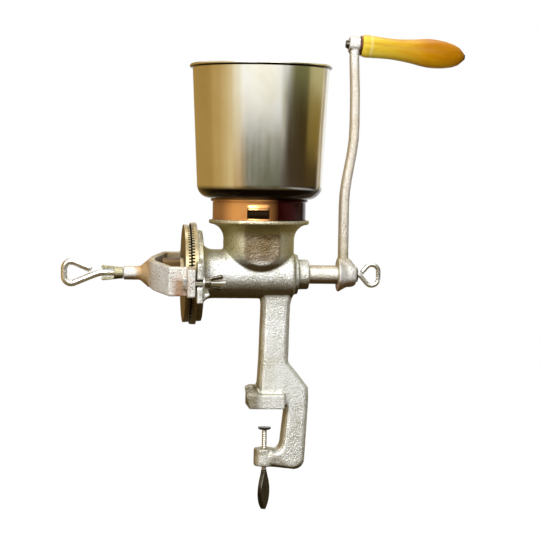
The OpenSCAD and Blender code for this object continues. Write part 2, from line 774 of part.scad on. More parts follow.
// Feed worm and shaft
module auger() {
    lead = 14;
    root = 26;
    flight_l = flight_end - flight_start - 1;
    color("#8f8b82") difference() {
        union() {
            along_shaft(journal_end) cylinder(r = journal_r, h = flight_start - journal_end + 1);
            along_shaft(flight_start) cylinder(r = core_r, h = flight_end - flight_start);
            along_shaft(flight_start + 0.5)
                linear_extrude(flight_l, slices = 60, twist = 360 * flight_l / flight_pitch, $fn = 8)
                    polygon([
                        polar(core_r - 2, -root), polar(flight_r, -lead), polar(flight_r, 0),
                        polar(flight_r, lead), polar(core_r - 2, root)
                    ]);
            along_shaft(flight_end - 1) cylinder(r = shaft_r, h = crank_x - flight_end + 1);
            translate([crank_x - 1, -square_w / 2, shaft_z - square_w / 2])
                cube([crank_hub_l, square_w, square_w]);
        }
        along_shaft(crank_end - crank_screw_in - 1)
            cylinder(r = crank_screw_r + run_clear, h = crank_screw_in + 2);
        along_shaft(pin_x) rotate(drive_pin_turn) rotate([90, 0, 0])
            translate([0, 0, -drive_pin_l]) cylinder(r = drive_pin_r + run_clear, h = 2 * drive_pin_l);
        along_shaft(ball_x) sphere(r = ball_r + run_clear);
    }
}

// Cross pin that makes the worm carry the rotating disc
module drive_pin() {
    color("#8d8a85") along_shaft(pin_x) rotate(drive_pin_turn) rotate([90, 0, 0])
        translate([0, 0, -drive_pin_l / 2]) cylinder(r = drive_pin_r, h = drive_pin_l);
}

// Steel ball that takes the thrust of the worm
module thrust_ball() {
    color("#c8c8c8") along_shaft(ball_x) sphere(r = ball_r);
}

// Half of the bridge in front of its boss: the swept arm and its foot
module bridge_half() {
    root_y = 9;
    half_h = bridge_arm_h / 2;
    arm_left = web_x + bridge_sweep;
    plan = [
        [web_x, 0], [web_x, -root_y], [arm_left, -arm_out], [foot_face, -arm_out], [foot_face, -arm_in],
        [arm_left + bridge_arm_t / 2, -arm_in], [web_x + crossbar_t, -root_y], [web_x + crossbar_t, 0]
    ];
    side = concat(
        [for (a = [180 : 15 : 270]) [web_x, -half_h] + bridge_corner * [1, 1] + polar(bridge_corner, a)],
        [[foot_face, -half_h], [foot_face, half_h], [web_x + 1, half_h], [web_x, half_h - 1]]
    );
    intersection() {
        translate([0, 0, -half_h]) linear_extrude(bridge_arm_h) polygon(plan);
        rotate([90, 0, 0]) linear_extrude(arm_out) polygon(side);
    }
    translate([foot_back, -ear_end, 0.5 - half_h]) cube([bridge_foot_t, ear_end - arm_in, bridge_arm_h - 1]);
}

// Cast yoke in front of the discs, the same on both sides of its boss
module bridge() {
    ball_room = ball_r + 0.6;
    ball_end = adjust_tip - adjust_out - face_gap;
    web_end = web_x + crossbar_t;
    cone_r = bridge_arm_h / 2 - 1;
    color("#b3a892") on_bridge() difference() {
        union() {
            for (turn = [0, 180]) rotate([turn, 0, 0]) bridge_half();
            translate([boss_outer, 0, 0]) rotate([0, 90, 0]) cylinder(r = bridge_boss_r, h = bridge_boss_l);
            translate([boss_inner, 0, 0]) rotate([0, 90, 0])
                cylinder(r1 = bridge_boss_r, r2 = cone_r, h = web_x - boss_inner + 1);
        }
        translate([boss_outer - 1, 0, 0]) rotate([0, 90, 0])
            cylinder(r = adjust_r + run_clear, h = web_end - boss_outer + 2);
        translate([ball_end, 0, 0]) rotate([0, 90, 0]) cylinder(r = ball_room, h = web_end - ball_end + 1);
        for (side = [-1, 1])
            translate([foot_back - 1, side * bolt_y, 0]) rotate([0, 90, 0])
                cylinder(r = bolt_r + run_clear, h = bridge_foot_t + 2);
    }
}

// Rod bent to an eye, with its shank along Z and its eye in the XZ plane beyond the origin
module eye_screw(shank_l, rod_r, eye_r, eye_d) {
    wire_r = rod_r - 0.06;
    path = eye_path(eye_d, eye_r, wire_r);
    rotate([0, 90, 0]) translate([0, 0, -shank_l - wire_r]) cylinder(r = rod_r, h = shank_l);
    loft([for (i = [0 : len(path) - 1]) wire_ring(path, i, wire_r)]);
}

// Eye screw that sets the discs apart
module adjusting_screw() {
    color("#cfcabb") translate([adjust_eye_x, 0, shaft_z]) mirror([1, 0, 0])
        eye_screw(adjust_tip - adjust_eye_x - adjust_r, adjust_r, adjust_eye_r, adjust_eye_d);
}

// Nut with two wings that point away from its seat at z = 0
module winged_nut(nut_r, nut_l, bore_r, long, high) {
    difference() {
        union() {
            cylinder(r = nut_r, h = nut_l);
            for (side = [0, 180]) rotate([0, 0, side]) translate([0, wing_t / 2, 0]) rotate([90, 0, 0])
                linear_extrude(wing_t) polygon(concat(
                    [[bore_r, nut_l - 3], [nut_r, nut_l / 3]],
                    [for (a = [0 : 15 : 180]) [high - 1.9, nut_l + long - 1.9] + polar(1.9, a)],
                    [[bore_r + 0.7, nut_l + 1]]
                ));
        }
        translate([0, 0, -1]) cylinder(r = bore_r + run_clear, h = nut_l + long + 2);
    }
}

// Winged nut that locks the adjusting screw
module lock_nut() {
    color("#bdb6a5") along_shaft(lock_nut_face) mirror([0, 0, 1])
        winged_nut(lock_nut_r, lock_nut_l, adjust_r, lock_wing_l, lock_wing_h);
}

// Square-headed bolt through a foot of the bridge and an ear
module bridge_bolt(side) {
    head_x0 = foot_back - bolt_head_t;
    color("#a49d90") along_bolt(head_x0, side) {
        translate([-bolt_head, -bolt_head, 0]) cube([2 * bolt_head, 2 * bolt_head, bolt_head_t]);
        cylinder(r = bolt_r, h = ear_back + bolt_tail - head_x0);
    }
}

// Washer between an ear and a wing nut
module bridge_washer(side) {
    color("#b6b0a3") along_bolt(washer_x, side) difference() {
        cylinder(r = washer_r, h = washer_t);
        translate([0, 0, -1]) cylinder(r = bolt_r + run_clear, h = washer_t + 2);
    }
}

// Wing nut on a bridge bolt
module wing_nut(side) {
    color("#b6b0a3") along_bolt(wing_nut_x, side) rotate(wing_turn)
        winged_nut(wing_nut_r, wing_nut_l, bolt_r, wing_l, wing_h);
}

// Cast crank with its hub, stepped arm and head
module crank_arm() {
    top = crank_r - 2;
    root_h = 16;
    root_t = crank_hub_l - 2.4;
    rise = concat([for (k = [17 : -1 : 2]) root_h + (top - root_h) * (k - 1) / 16],
                  [for (a = [90 : -15 : 0]) root_h * sin(a)]);
    collar_t = 1.6;
    left = crank_mid - crank_t / 2;
    color("#b0a68f") difference() {
        union() {
            along_shaft(crank_x) rotate_extrude() polygon([
                [0, 0], [crank_collar_r, 0], [crank_collar_r, collar_t], [crank_hub_r + 1.4, collar_t + 5],
                [crank_hub_r, collar_t + 8], [crank_hub_r, crank_hub_l - 5],
                [crank_hub_r - 1, crank_hub_l - 2], [crank_hub_r - 3, crank_hub_l], [0, crank_hub_l]
            ]);
            loft([for (z = rise)
                let (
                    step = crank_step * ease((z - step_low) / (step_high - step_low)),
                    x = left + step - head_back * ease(4 * z / top - 3),
                    flare = sqrt(max(0, 1 - pow(z / root_h, 2))),
                    t = crank_t + (root_t - crank_t) * flare,
                    w = crank_w_low + (crank_w_high - crank_w_low) * z / top
                )
                bar_ring([x, shaft_z + z], [x + t, shaft_z + z], w, crank_t / 4)]);
            along_grip(-crank_head_l / 2) cylinder(r = crank_head_r, h = crank_head_l);
        }
        translate([crank_x - 1, -square_w / 2 - run_clear, shaft_z - square_w / 2 - run_clear])
            cube([crank_hub_l + 2, square_w + 2 * run_clear, square_w + 2 * run_clear]);
        along_grip(-crank_head_l) cylinder(r = spindle_r + run_clear, h = 2 * crank_head_l);
    }
}

// Washer that holds the crank on the square
module crank_washer() {
    color("#8a867d") along_shaft(crank_end + run_clear) difference() {
        cylinder(r = crank_hub_r - 5, h = washer_t);
        translate([0, 0, -1]) cylinder(r = crank_screw_r + run_clear, h = washer_t + 2);
    }
}

// Eye screw in the end of the shaft
module crank_screw() {
    shank_l = crank_screw_in + washer_t;
    color("#cfcabb") translate([crank_eye_x, 0, shaft_z])
        eye_screw(shank_l, crank_screw_r, crank_eye_r, crank_eye_d);
}

// Turned wooden grip
module grip() {
    rows = [
        [0, grip_foot_r - 0.8], [0.05, grip_foot_r], [0.16, (grip_foot_r + grip_waist_r) / 2 - 0.2],
        [0.3, grip_waist_r], [0.46, (grip_waist_r + grip_r) / 2 - 0.7], [0.66, grip_r],
        [0.8, grip_r * 0.95], [0.9, grip_r * 0.8], [0.96, grip_r * 0.6], [1, spindle_r + 1.6]
    ];
    color("#d9a13a") along_grip(grip_start) difference() {
        rotate_extrude() polygon(concat(
            [[0, 0]], [for (k = [0 : 40]) [turned_r(rows, k / 40), grip_l * k / 40]], [[0, grip_l]]
        ));
        translate([0, 0, -1]) cylinder(r = spindle_r + run_clear, h = grip_l + 2);
    }
}

// Pin that the grip turns on, riveted over at both ends
module grip_spindle() {
    back = -crank_head_l / 2;
    front = grip_end + face_gap;
    peen_r = spindle_r + 0.8;
    color("#6f6a60") {
        along_grip(back - rivet_h) cylinder(r1 = rivet_r - 1.4, r2 = rivet_r, h = rivet_h);
        along_grip(back - 0.5) cylinder(r = spindle_r, h = front - back + 1);
        along_grip(front) cylinder(r1 = peen_r, r2 = peen_r - 1.2, h = rivet_h / 2);
    }
}

// Washer on the spindle
module grip_washer(x, r) {
    color("#5f584c") along_grip(x) difference() {
        cylinder(r = r, h = washer_t);
        translate([0, 0, -1]) cylinder(r = spindle_r + run_clear, h = washer_t + 2);
    }
}

// Clamp screw with its thumb leaf
module clamp_screw() {
    tip_r = clamp_screw_r - 0.8;
    tip_l = 1.2;
    shoulder = -pad_gap - pad_t - run_clear;
    leaf_mid = leaf_top - leaf_l / 2;
    steps = 16;
    half = [for (k = [0 : steps])
        let (t = k / steps)
        [1.4 + (leaf_w / 2 - 1.4) * pow(sin(180 * pow(t, 1.25)), 0.8), leaf_top - leaf_l * t]];
    color("#5a554c") {
        translate([0, 0, leaf_mid]) cylinder(r = clamp_screw_r, h = shoulder - leaf_mid);
        translate([0, 0, shoulder - 1]) cylinder(r = tip_r, h = tip_l + 1);
        rotate(leaf_turn) translate([0, leaf_t / 2, 0]) rotate([90, 0, 0]) linear_extrude(leaf_t)
            polygon(concat(half, [for (k = [steps : -1 : 0]) [-half[k].x, half[k].y]]));
    }
}

// Swivel pad on the clamp screw
module clamp_pad() {
    low = -pad_gap - pad_t;
    color("#a9a294") difference() {
        translate([0, 0, low]) rotate_extrude()
            polygon([[0, 0], [pad_r - 1.5, 0], [pad_r, pad_t / 2], [pad_r, pad_t], [0, pad_t]]);
        translate([0, 0, low - 1]) cylinder(r = clamp_screw_r - 0.8 + run_clear, h = 1 + 1.2 + run_clear);
    }
}

body_casting();
hopper_bowl();
hopper_neck();
stationary_disc();
disc_screws();
rotating_disc();
auger();
drive_pin();
thrust_ball();
bridge();
adjusting_screw();
lock_nut();
bridge_bolt(-1);  // bridge_bolt_front
bridge_bolt(1);  // bridge_bolt_back
bridge_washer(-1);  // bridge_washer_front
bridge_washer(1);  // bridge_washer_back
wing_nut(-1);  // wing_nut_front
wing_nut(1);  // wing_nut_back
crank_arm();
crank_washer();
crank_screw();
grip();
grip_spindle();
grip_washer(washer_seat, grip_foot_r - 1.5);  // grip_washer_inner
clamp_screw();
clamp_pad();
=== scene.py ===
"""Looks for a hand-cranked malt mill: tinned castings, sheet hopper, bent-wire screws and a wooden grip."""

import math

import bmesh
import bpy
import numpy as np
from mathutils import Matrix, Vector, noise


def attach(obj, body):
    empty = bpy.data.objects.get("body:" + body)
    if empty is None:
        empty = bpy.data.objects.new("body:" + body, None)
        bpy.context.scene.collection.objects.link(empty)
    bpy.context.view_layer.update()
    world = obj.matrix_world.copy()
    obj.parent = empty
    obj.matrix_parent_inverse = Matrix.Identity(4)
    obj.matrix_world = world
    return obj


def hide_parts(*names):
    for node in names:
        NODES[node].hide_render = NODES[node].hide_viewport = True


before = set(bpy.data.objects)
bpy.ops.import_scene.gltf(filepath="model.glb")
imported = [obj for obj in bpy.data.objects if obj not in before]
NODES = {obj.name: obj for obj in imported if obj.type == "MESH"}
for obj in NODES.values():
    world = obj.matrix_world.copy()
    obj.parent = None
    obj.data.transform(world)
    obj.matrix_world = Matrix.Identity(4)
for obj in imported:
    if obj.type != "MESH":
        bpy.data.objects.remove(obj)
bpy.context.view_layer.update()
MM = 0.001

# Stations and sizes of the part, in millimetres
SHAFT_Z = 129.0
THROAT_X = -8.5
TAB_Z = (183, 193)
BOLT_Y = 62.5
BRIDGE_ROLL = math.radians(5.0)
TEETH_X = (-78.7, -72.7)
HUB_X = -84.5
BURR_RIM_W = 0.55
EYE_GAP = 0.3

# Grip: its start is counted from the crank's head, and its grooves from its own foot
HEAD = (81.6, 0.0, 351.5)
GRIP_DROOP = math.radians(5.0)
GRIP_TURN = math.radians(90) + GRIP_DROOP
GRIP_START, GRIP_L = 7.2, 100.0
GROOVES = (6.6, 10.6)

# Meshes: MERGE is in metres, LUMP_SIZE in millimetres, and FINE_LUMPS are that many times denser
MERGE = 1e-6
SHARP = math.radians(40)
LUMP_SIZE, FINE_LUMPS = 6.0, 3.1
WIRE_SIDES, ROD_SIDES = 24, 28
THREAD_STEPS = 6
EYE_STEPS, BEND_STEPS, TAIL_STEPS = 24, 12, 4


# Mesh helpers

def add(name, data):
    """A new object in the scene."""
    obj = bpy.data.objects.new(name, data)
    bpy.context.scene.collection.objects.link(obj)
    return obj


def smooth(mesh):
    mesh.polygons.foreach_set("use_smooth", [True] * len(mesh.polygons))


def fix_normals(mesh):
    """Merges doubled points and turns every face outwards."""
    bm = bmesh.new()
    bm.from_mesh(mesh)
    bmesh.ops.remove_doubles(bm, verts=bm.verts, dist=MERGE)
    bmesh.ops.recalc_face_normals(bm, faces=bm.faces)
    bm.to_mesh(mesh)
    bm.free()


def new_object(name, verts, faces):
    """A smooth mesh object from points in millimetres."""
    mesh = bpy.data.meshes.new(name)
    mesh.from_pydata([tuple(c * MM for c in v) for v in verts], [], faces)
    mesh.update()
    fix_normals(mesh)
    smooth(mesh)
    return add(name, mesh)


def join(name, objs):
    """One object out of several, which are removed."""
    bm = bmesh.new()
    for o in objs:
        bm.from_mesh(o.data)
        bpy.data.objects.remove(o)
    mesh = bpy.data.meshes.new(name)
    bm.to_mesh(mesh)
    bm.free()
    smooth(mesh)
    return add(name, mesh)


def apply_modifiers(obj):
    graph = bpy.context.evaluated_depsgraph_get()
    mesh = bpy.data.meshes.new_from_object(obj.evaluated_get(graph))
    obj.modifiers.clear()
    obj.data = mesh
    return mesh


def copy_node(node, name):
    """A new object with a copy of a CAD node's mesh."""
    mesh = NODES[node].data.copy()
    mesh.materials.clear()
    fix_normals(mesh)
    obj = add(name, mesh)
    obj.matrix_world = NODES[node].matrix_world.copy()
    return obj


def remesh(obj, voxel):
    """Gives an object a fine mesh of even squares."""
    mod = obj.modifiers.new("remesh", "REMESH")
    mod.mode = "VOXEL"
    mod.voxel_size = voxel * MM
    return apply_modifiers(obj)


def soften(mesh, rounds, hold, lumps=0.0):
    """Rounds the edges of a fine mesh, apart from what hold keeps, and adds the lumps of a sand casting."""
    n = len(mesh.vertices)
    co = np.empty(n * 3)
    mesh.vertices.foreach_get("co", co)
    co = co.reshape(-1, 3)
    ends = np.empty(len(mesh.edges) * 2, dtype=np.int64)
    mesh.edges.foreach_get("vertices", ends)
    a, b = ends.reshape(-1, 2).T
    degree = np.maximum(np.bincount(a, minlength=n) + np.bincount(b, minlength=n), 1)
    free = 1.0 - hold(co / MM).astype(float)
    for _ in range(rounds):
        mean = np.empty_like(co)
        for k in range(3):
            mean[:, k] = (np.bincount(a, weights=co[b, k], minlength=n)
                          + np.bincount(b, weights=co[a, k], minlength=n)) / degree
        co += 0.5 * free[:, None] * (mean - co)
    mesh.vertices.foreach_set("co", co.ravel())
    mesh.update()
    if lumps:
        nor = np.empty(n * 3)
        mesh.vertex_normals.foreach_get("vector", nor)
        nor = nor.reshape(-1, 3)
        f = 1.0 / (LUMP_SIZE * MM)
        points = [Vector(p) * f for p in co]
        d = np.array([noise.noise(p) + 0.5 * noise.noise(p * FINE_LUMPS) for p in points])
        co -= nor * (free * (0.5 + 0.5 * d) * lumps * MM)[:, None]
        mesh.vertices.foreach_set("co", co.ravel())
        mesh.update()


def casting(node, name, voxel, rounds, hold, lumps=0.0):
    """A CAD node as a casting: its own shape with rounded edges and a slightly uneven skin."""
    obj = copy_node(node, name)
    mesh = remesh(obj, voxel)
    soften(mesh, rounds, hold, lumps)
    smooth(mesh)
    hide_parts(node)
    return obj


def machined(node, name, width, segments=2, angle=30):
    """A CAD node with small bevels on its edges."""
    obj = copy_node(node, name)
    mod = obj.modifiers.new("bevel", "BEVEL")
    mod.width = width * MM
    mod.segments = segments
    mod.limit_method = "ANGLE"
    mod.angle_limit = math.radians(angle)
    mesh = apply_modifiers(obj)
    smooth(mesh)
    mesh.set_sharp_from_angle(angle=SHARP)
    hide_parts(node)
    return obj


def lathe(name, profile, segments):
    """A body of revolution about Z from a closed ring of [radius, height] rows, in millimetres."""
    verts, faces = [], []
    m = len(profile)
    for i in range(segments):
        a = 2 * math.pi * i / segments
        verts += [(r * math.cos(a), r * math.sin(a), z) for r, z in profile]
        j = (i + 1) % segments
        for k in range(m):
            after = (k + 1) % m
            faces.append((i * m + k, j * m + k, j * m + after, i * m + after))
    return new_object(name, verts, faces)


def arc(cx, cz, r, start, end, steps):
    """Points of an arc between two directions, in degrees."""
    angles = [math.radians(start + (end - start) * k / steps) for k in range(steps + 1)]
    return [(cx + r * math.cos(a), cz + r * math.sin(a)) for a in angles]


def rod_faces(rings, sides):
    """Faces of a rod with closed ends, whose rings of points follow one another."""
    faces = []
    for i in range(rings - 1):
        here, above = i * sides, (i + 1) * sides
        for k in range(sides):
            after = (k + 1) % sides
            faces.append((here + k, here + after, above + after, above + k))
    faces.append(tuple(range(sides))[::-1])
    faces.append(tuple((rings - 1) * sides + k for k in range(sides)))
    return faces


def tube(name, path, radius):
    """A round wire along a path of the XZ plane, with domed ends."""
    pts = [Vector((x, 0.0, z)) for x, z in path]
    last = len(pts) - 1
    rings = []
    for i, p in enumerate(pts):
        t = (pts[min(i + 1, last)] - pts[max(i - 1, 0)]).normalized()
        rings.append((p, t, radius))
    angles = [math.radians(a) for a in (30, 60, 85)]
    height = 0.55
    domes = []
    for end, sign in ((0, -1), (last, 1)):
        p, t, r = rings[end]
        domes.append([(p + t * sign * r * height * math.sin(a), t, r * math.cos(a)) for a in angles])
    rings = domes[0][::-1] + rings + domes[1]
    verts = []
    for p, t, r in rings:
        n = Vector((-t.z, 0.0, t.x))
        for k in range(WIRE_SIDES):
            a = 2 * math.pi * k / WIRE_SIDES
            verts.append(tuple(p + n * (r * math.cos(a)) + Vector((0, 1, 0)) * (r * math.sin(a))))
    return new_object(name, verts, rod_faces(len(rings), WIRE_SIDES))


def threaded_rod(name, length, radius, pitch, depth=0.28):
    """A threaded rod along +Z from the origin, with eased ends; its depth is a share of the pitch."""
    count = int(length / (pitch / THREAD_STEPS))
    eased = 0.72
    verts = []
    for i in range(count + 1):
        z = length * i / count
        end = min(1.0, min(z, length - z) / (0.5 * radius) + eased)
        for k in range(ROD_SIDES):
            a = 2 * math.pi * k / ROD_SIDES
            phase = (z / pitch - a / (2 * math.pi)) % 1.0
            r = (radius - depth * pitch * abs(2 * phase - 1)) * end
            verts.append((r * math.cos(a), r * math.sin(a), z))
    return new_object(name, verts, rod_faces(count + 1, ROD_SIDES))


def place(obj, matrix):
    obj.data.transform(matrix)
    obj.data.update()


def shift(x, y, z):
    return Matrix.Translation((x * MM, y * MM, z * MM))


ALONG_X = Matrix.Rotation(math.radians(90), 4, "Y")


def eye_path(d, r, wire, start):
    """Rod from start to the origin, round an eye with two corners and back to the rod, as [along, up].

    The eye is d + r long and 2 r high.
    """
    corner = 0.65 * r
    mx, mz = d + r - corner, r - corner
    far = math.hypot(mx, mz)
    reach = math.sqrt(far * far - corner * corner)
    lean = math.atan2(mz, mx) + math.asin(corner / far)
    sweep = math.pi / 2 + lean
    low = (reach * math.cos(lean), -reach * math.sin(lean))
    tail = (wire + EYE_GAP) / math.sin(lean)
    bend_end = 0.4
    path = [(start, 0.0), (-2.0 * wire, 0.0)]
    for k in range(BEND_STEPS + 1):
        t = k / BEND_STEPS
        path.append((-(1 - t) ** 2 * wire + t * t * bend_end * low[0], t * t * bend_end * low[1]))
    path += [(t * low[0], t * low[1]) for t in (0.55, 0.7, 0.85)]
    for side, first in ((-1, -sweep), (1, 0.0)):
        for k in range(EYE_STEPS + 1):
            a = first + sweep * k / EYE_STEPS
            path.append((mx + corner * math.cos(a), side * mz + corner * math.sin(a)))
    for k in range(1, TAIL_STEPS + 1):
        t = reach + (tail - reach) * k / TAIL_STEPS
        path.append((t * math.cos(lean), t * math.sin(lean)))
    return path


# Material helpers

def material(name):
    """A new material, its tree, its shader and the coordinates of the part."""
    m = bpy.data.materials.new(name)
    m.use_nodes = True
    nt = m.node_tree
    shader = nt.nodes["Principled BSDF"]
    coords = nt.nodes.new("ShaderNodeTexCoord").outputs["Object"]
    return m, nt, shader, coords


def bare_material(name):
    """A new material with an empty tree."""
    m = bpy.data.materials.new(name)
    m.use_nodes = True
    m.node_tree.nodes.clear()
    return m, m.node_tree


def feed(nt, socket, value):
    """Sets a socket to a number or a colour, or links it."""
    if isinstance(value, (int, float)):
        socket.default_value = value
    elif isinstance(value, tuple):
        socket.default_value = (*value, 1)
    else:
        nt.links.new(value, socket)


def stretched(nt, coords, scale):
    n = nt.nodes.new("ShaderNodeMapping")
    n.inputs["Scale"].default_value = scale
    nt.links.new(coords, n.inputs["Vector"])
    return n.outputs["Vector"]


def grain(nt, coords, scale, detail, rough, distortion=0.0):
    n = nt.nodes.new("ShaderNodeTexNoise")
    n.inputs["Scale"].default_value = scale
    n.inputs["Detail"].default_value = detail
    n.inputs["Roughness"].default_value = rough
    n.inputs["Distortion"].default_value = distortion
    nt.links.new(coords, n.inputs["Vector"])
    return n.outputs["Fac"]


def ramp(nt, fac, stops):
    n = nt.nodes.new("ShaderNodeValToRGB")
    e = n.color_ramp.elements
    while len(e) < len(stops):
        e.new(0.5)
    for item, (pos, col) in zip(e, stops):
        item.position = pos
        item.color = (col, col, col, 1) if isinstance(col, float) else (*col, 1)
    nt.links.new(fac, n.inputs["Fac"])
    return n.outputs["Color"]


def mix(nt, fac, a, b):
    n = nt.nodes.new("ShaderNodeMix")
    n.data_type = "RGBA"
    for index, value in ((0, fac), (6, a), (7, b)):
        feed(nt, n.inputs[index], value)
    return n.outputs[2]


def mix_of(a, b, t):
    return tuple(p + (q - p) * t for p, q in zip(a, b))


def spread(nt, value, lo, hi, a=0.0, b=1.0):
    n = nt.nodes.new("ShaderNodeMapRange")
    n.inputs["From Min"].default_value = lo
    n.inputs["From Max"].default_value = hi
    n.inputs["To Min"].default_value = a
    n.inputs["To Max"].default_value = b
    nt.links.new(value, n.inputs["Value"])
    return n.outputs["Result"]


def bump(nt, shader, height, strength, distance, under=None):
    n = nt.nodes.new("ShaderNodeBump")
    n.inputs["Strength"].default_value = strength
    n.inputs["Distance"].default_value = distance * MM
    nt.links.new(height, n.inputs["Height"])
    if under is not None:
        nt.links.new(under, n.inputs["Normal"])
    nt.links.new(n.outputs["Normal"], shader.inputs["Normal"])
    return n.outputs["Normal"]


def math_node(nt, operation, *values):
    n = nt.nodes.new("ShaderNodeMath")
    n.operation = operation
    for socket, value in zip(n.inputs, values):
        feed(nt, socket, value)
    return n.outputs["Value"]


def axes(nt, vector):
    n = nt.nodes.new("ShaderNodeSeparateXYZ")
    nt.links.new(vector, n.inputs["Vector"])
    return n.outputs["X"], n.outputs["Y"], n.outputs["Z"]


def facing(nt):
    """How far the surface faces along the part's own X, Y and Z."""
    return axes(nt, nt.nodes.new("ShaderNodeTexCoord").outputs["Normal"])


def edges(nt, lo, hi):
    """Sharp edges when both limits are above 0.5, and hollows when both are below."""
    g = nt.nodes.new("ShaderNodeNewGeometry")
    return spread(nt, g.outputs["Pointiness"], lo, hi)


def inside_box(nt, coords, low, high, soft):
    """1 inside a box of the part, in millimetres, and 0 outside it, with a soft border."""
    total = None
    for value, a, b in zip(axes(nt, coords), low, high):
        rise = spread(nt, value, (a - soft) * MM, (a + soft) * MM)
        fall = spread(nt, value, (b - soft) * MM, (b + soft) * MM, 1.0, 0.0)
        share = math_node(nt, "MULTIPLY", rise, fall)
        total = share if total is None else math_node(nt, "MULTIPLY", total, share)
    return total


# Materials

EDGE_TINT, SPARKLE = (0.55, 0.48, 0.30), (0.32, 0.23, 0.14)
UNDER_SHADE, RIGHT_SHADE, STREAK = (0.02, 0.012, 0.008), (0.035, 0.002, 0.001), (0.16, 0.05, 0.02)
NECK_SHADE, TEETH_SHADE = (0.06, 0.035, 0.02), (0.03, 0.022, 0.014)


def facing_shade(nt, colour, khaki, brown, over, turned_away):
    """Painted shade by facing: khaki on the sides of a casting, a little on top, and brown underneath."""
    nx, _, nz = facing(nt)
    side = spread(nt, math_node(nt, "ABSOLUTE", nx), turned_away, 1.0, 0.0, 0.7)
    top = spread(nt, nz, 0.55, 0.95, 0.0, over)
    under = spread(nt, nz, -0.15, -0.60, 0.0, 0.95)
    return mix(nt, under, mix(nt, math_node(nt, "MAXIMUM", side, top), colour, khaki), brown)


def tinned_casting(name, tones, cloudy, pepper, over, turned_away, metallic, stains_and_shade=()):
    """Sand-cast iron under tin: pale and grainy, with khaki and brown tarnish in its hollows, painted shade
    by facing, and patches of colour, most of them painted shade.
    """
    m, nt, shader, co = material(name)
    silver, khaki, brown = tones
    cloud = grain(nt, co, 30.0, 4.0, 0.6, 0.4)
    tint = ramp(nt, cloud, [(0.32, mix_of(silver, khaki, cloudy)), (0.56, silver)])
    # painted shade by facing, laid over the cloudy tint
    base = facing_shade(nt, tint, khaki, brown, over, turned_away)
    # patches, most of them painted shade: each is mixed in within its box, and those on front faces alone
    # get painted glints of SPARKLE in a fine grain
    for low, high, soft, strength, front_only, colour in stains_and_shade:
        share = inside_box(nt, co, low, high, soft)
        if front_only:
            _, ny, _ = facing(nt)
            share = math_node(nt, "MULTIPLY", share, spread(nt, math_node(nt, "ABSOLUTE", ny), 0.80, 0.97))
            colour = ramp(nt, grain(nt, co, 520.0, 2.0, 0.6), [(0.48, colour), (0.68, SPARKLE)])
        share = math_node(nt, "MULTIPLY", share, spread(nt, cloud, 0.25, 0.6, strength, 0.75 * strength))
        base = mix(nt, share, base, colour)
    speck = grain(nt, co, 760.0, 2.0, 0.6)
    fine = grain(nt, co, 1900.0, 2.0, 0.6)
    zone = spread(nt, grain(nt, co, 40.0, 2.0, 0.5), 0.40, 0.62, 0.4, 1.0)
    dots = math_node(nt, "MULTIPLY", ramp(nt, speck, [(0.36, pepper), (0.49, 0.0)]), zone)
    peppered = mix(nt, dots, base, mix_of(khaki, brown, 0.7))
    worn = mix(nt, edges(nt, 0.47, 0.40), peppered, brown)
    nt.links.new(mix(nt, edges(nt, 0.57, 0.66), worn, silver), shader.inputs["Base Color"])
    shader.inputs["Metallic"].default_value = metallic
    shader.inputs["Specular Tint"].default_value = (*EDGE_TINT, 1)
    nt.links.new(spread(nt, speck, 0.3, 0.7, 0.50, 0.36), shader.inputs["Roughness"])
    first = bump(nt, shader, speck, 1.0, 0.8)
    bump(nt, shader, fine, 0.4, 0.3, first)
    return m


def shaded_below(nt, shader, co, colour):
    """The bowl's colour, with painted shade under its bend."""
    _, _, nz = facing(nt)
    return mix(nt, spread(nt, nz, -0.05, -0.35), colour, UNDER_SHADE)


def shaded_collar(nt, shader, co, colour):
    """The collar's colour: painted shade to the right, streaked at the left, and painted shade inside and
    behind its tabs.
    """
    nx, ny, nz = facing(nt)
    x, y, _ = axes(nt, co)
    # painted shade on the collar's right side
    right_shade = spread(nt, x, (THROAT_X - 4) * MM, (THROAT_X + 14) * MM)
    colour = mix(nt, right_shade, colour, RIGHT_SHADE)
    streaked = spread(nt, x, (THROAT_X - 29) * MM, (THROAT_X - 38) * MM, 0.0, 0.6)
    colour = mix(nt, streaked, colour, STREAK)
    # painted shade inside the collar and on the lanced tabs
    outward = math_node(nt, "MULTIPLY", nx, math_node(nt, "SUBTRACT", x, THROAT_X * MM))
    outward = math_node(nt, "ADD", outward, math_node(nt, "MULTIPLY", ny, y))
    band = inside_box(nt, co, (THROAT_X - 60, -60, TAB_Z[0]), (THROAT_X + 60, 60, TAB_Z[1]), 0.5)
    lanced = math_node(nt, "MULTIPLY", spread(nt, math_node(nt, "ABSOLUTE", nz), 0.30, 0.38), band)
    shade = math_node(nt, "MAXIMUM", spread(nt, outward, 0.0, -0.01), lanced)
    shader.inputs["Specular IOR Level"].default_value = 0.1
    return mix(nt, shade, colour, NECK_SHADE)


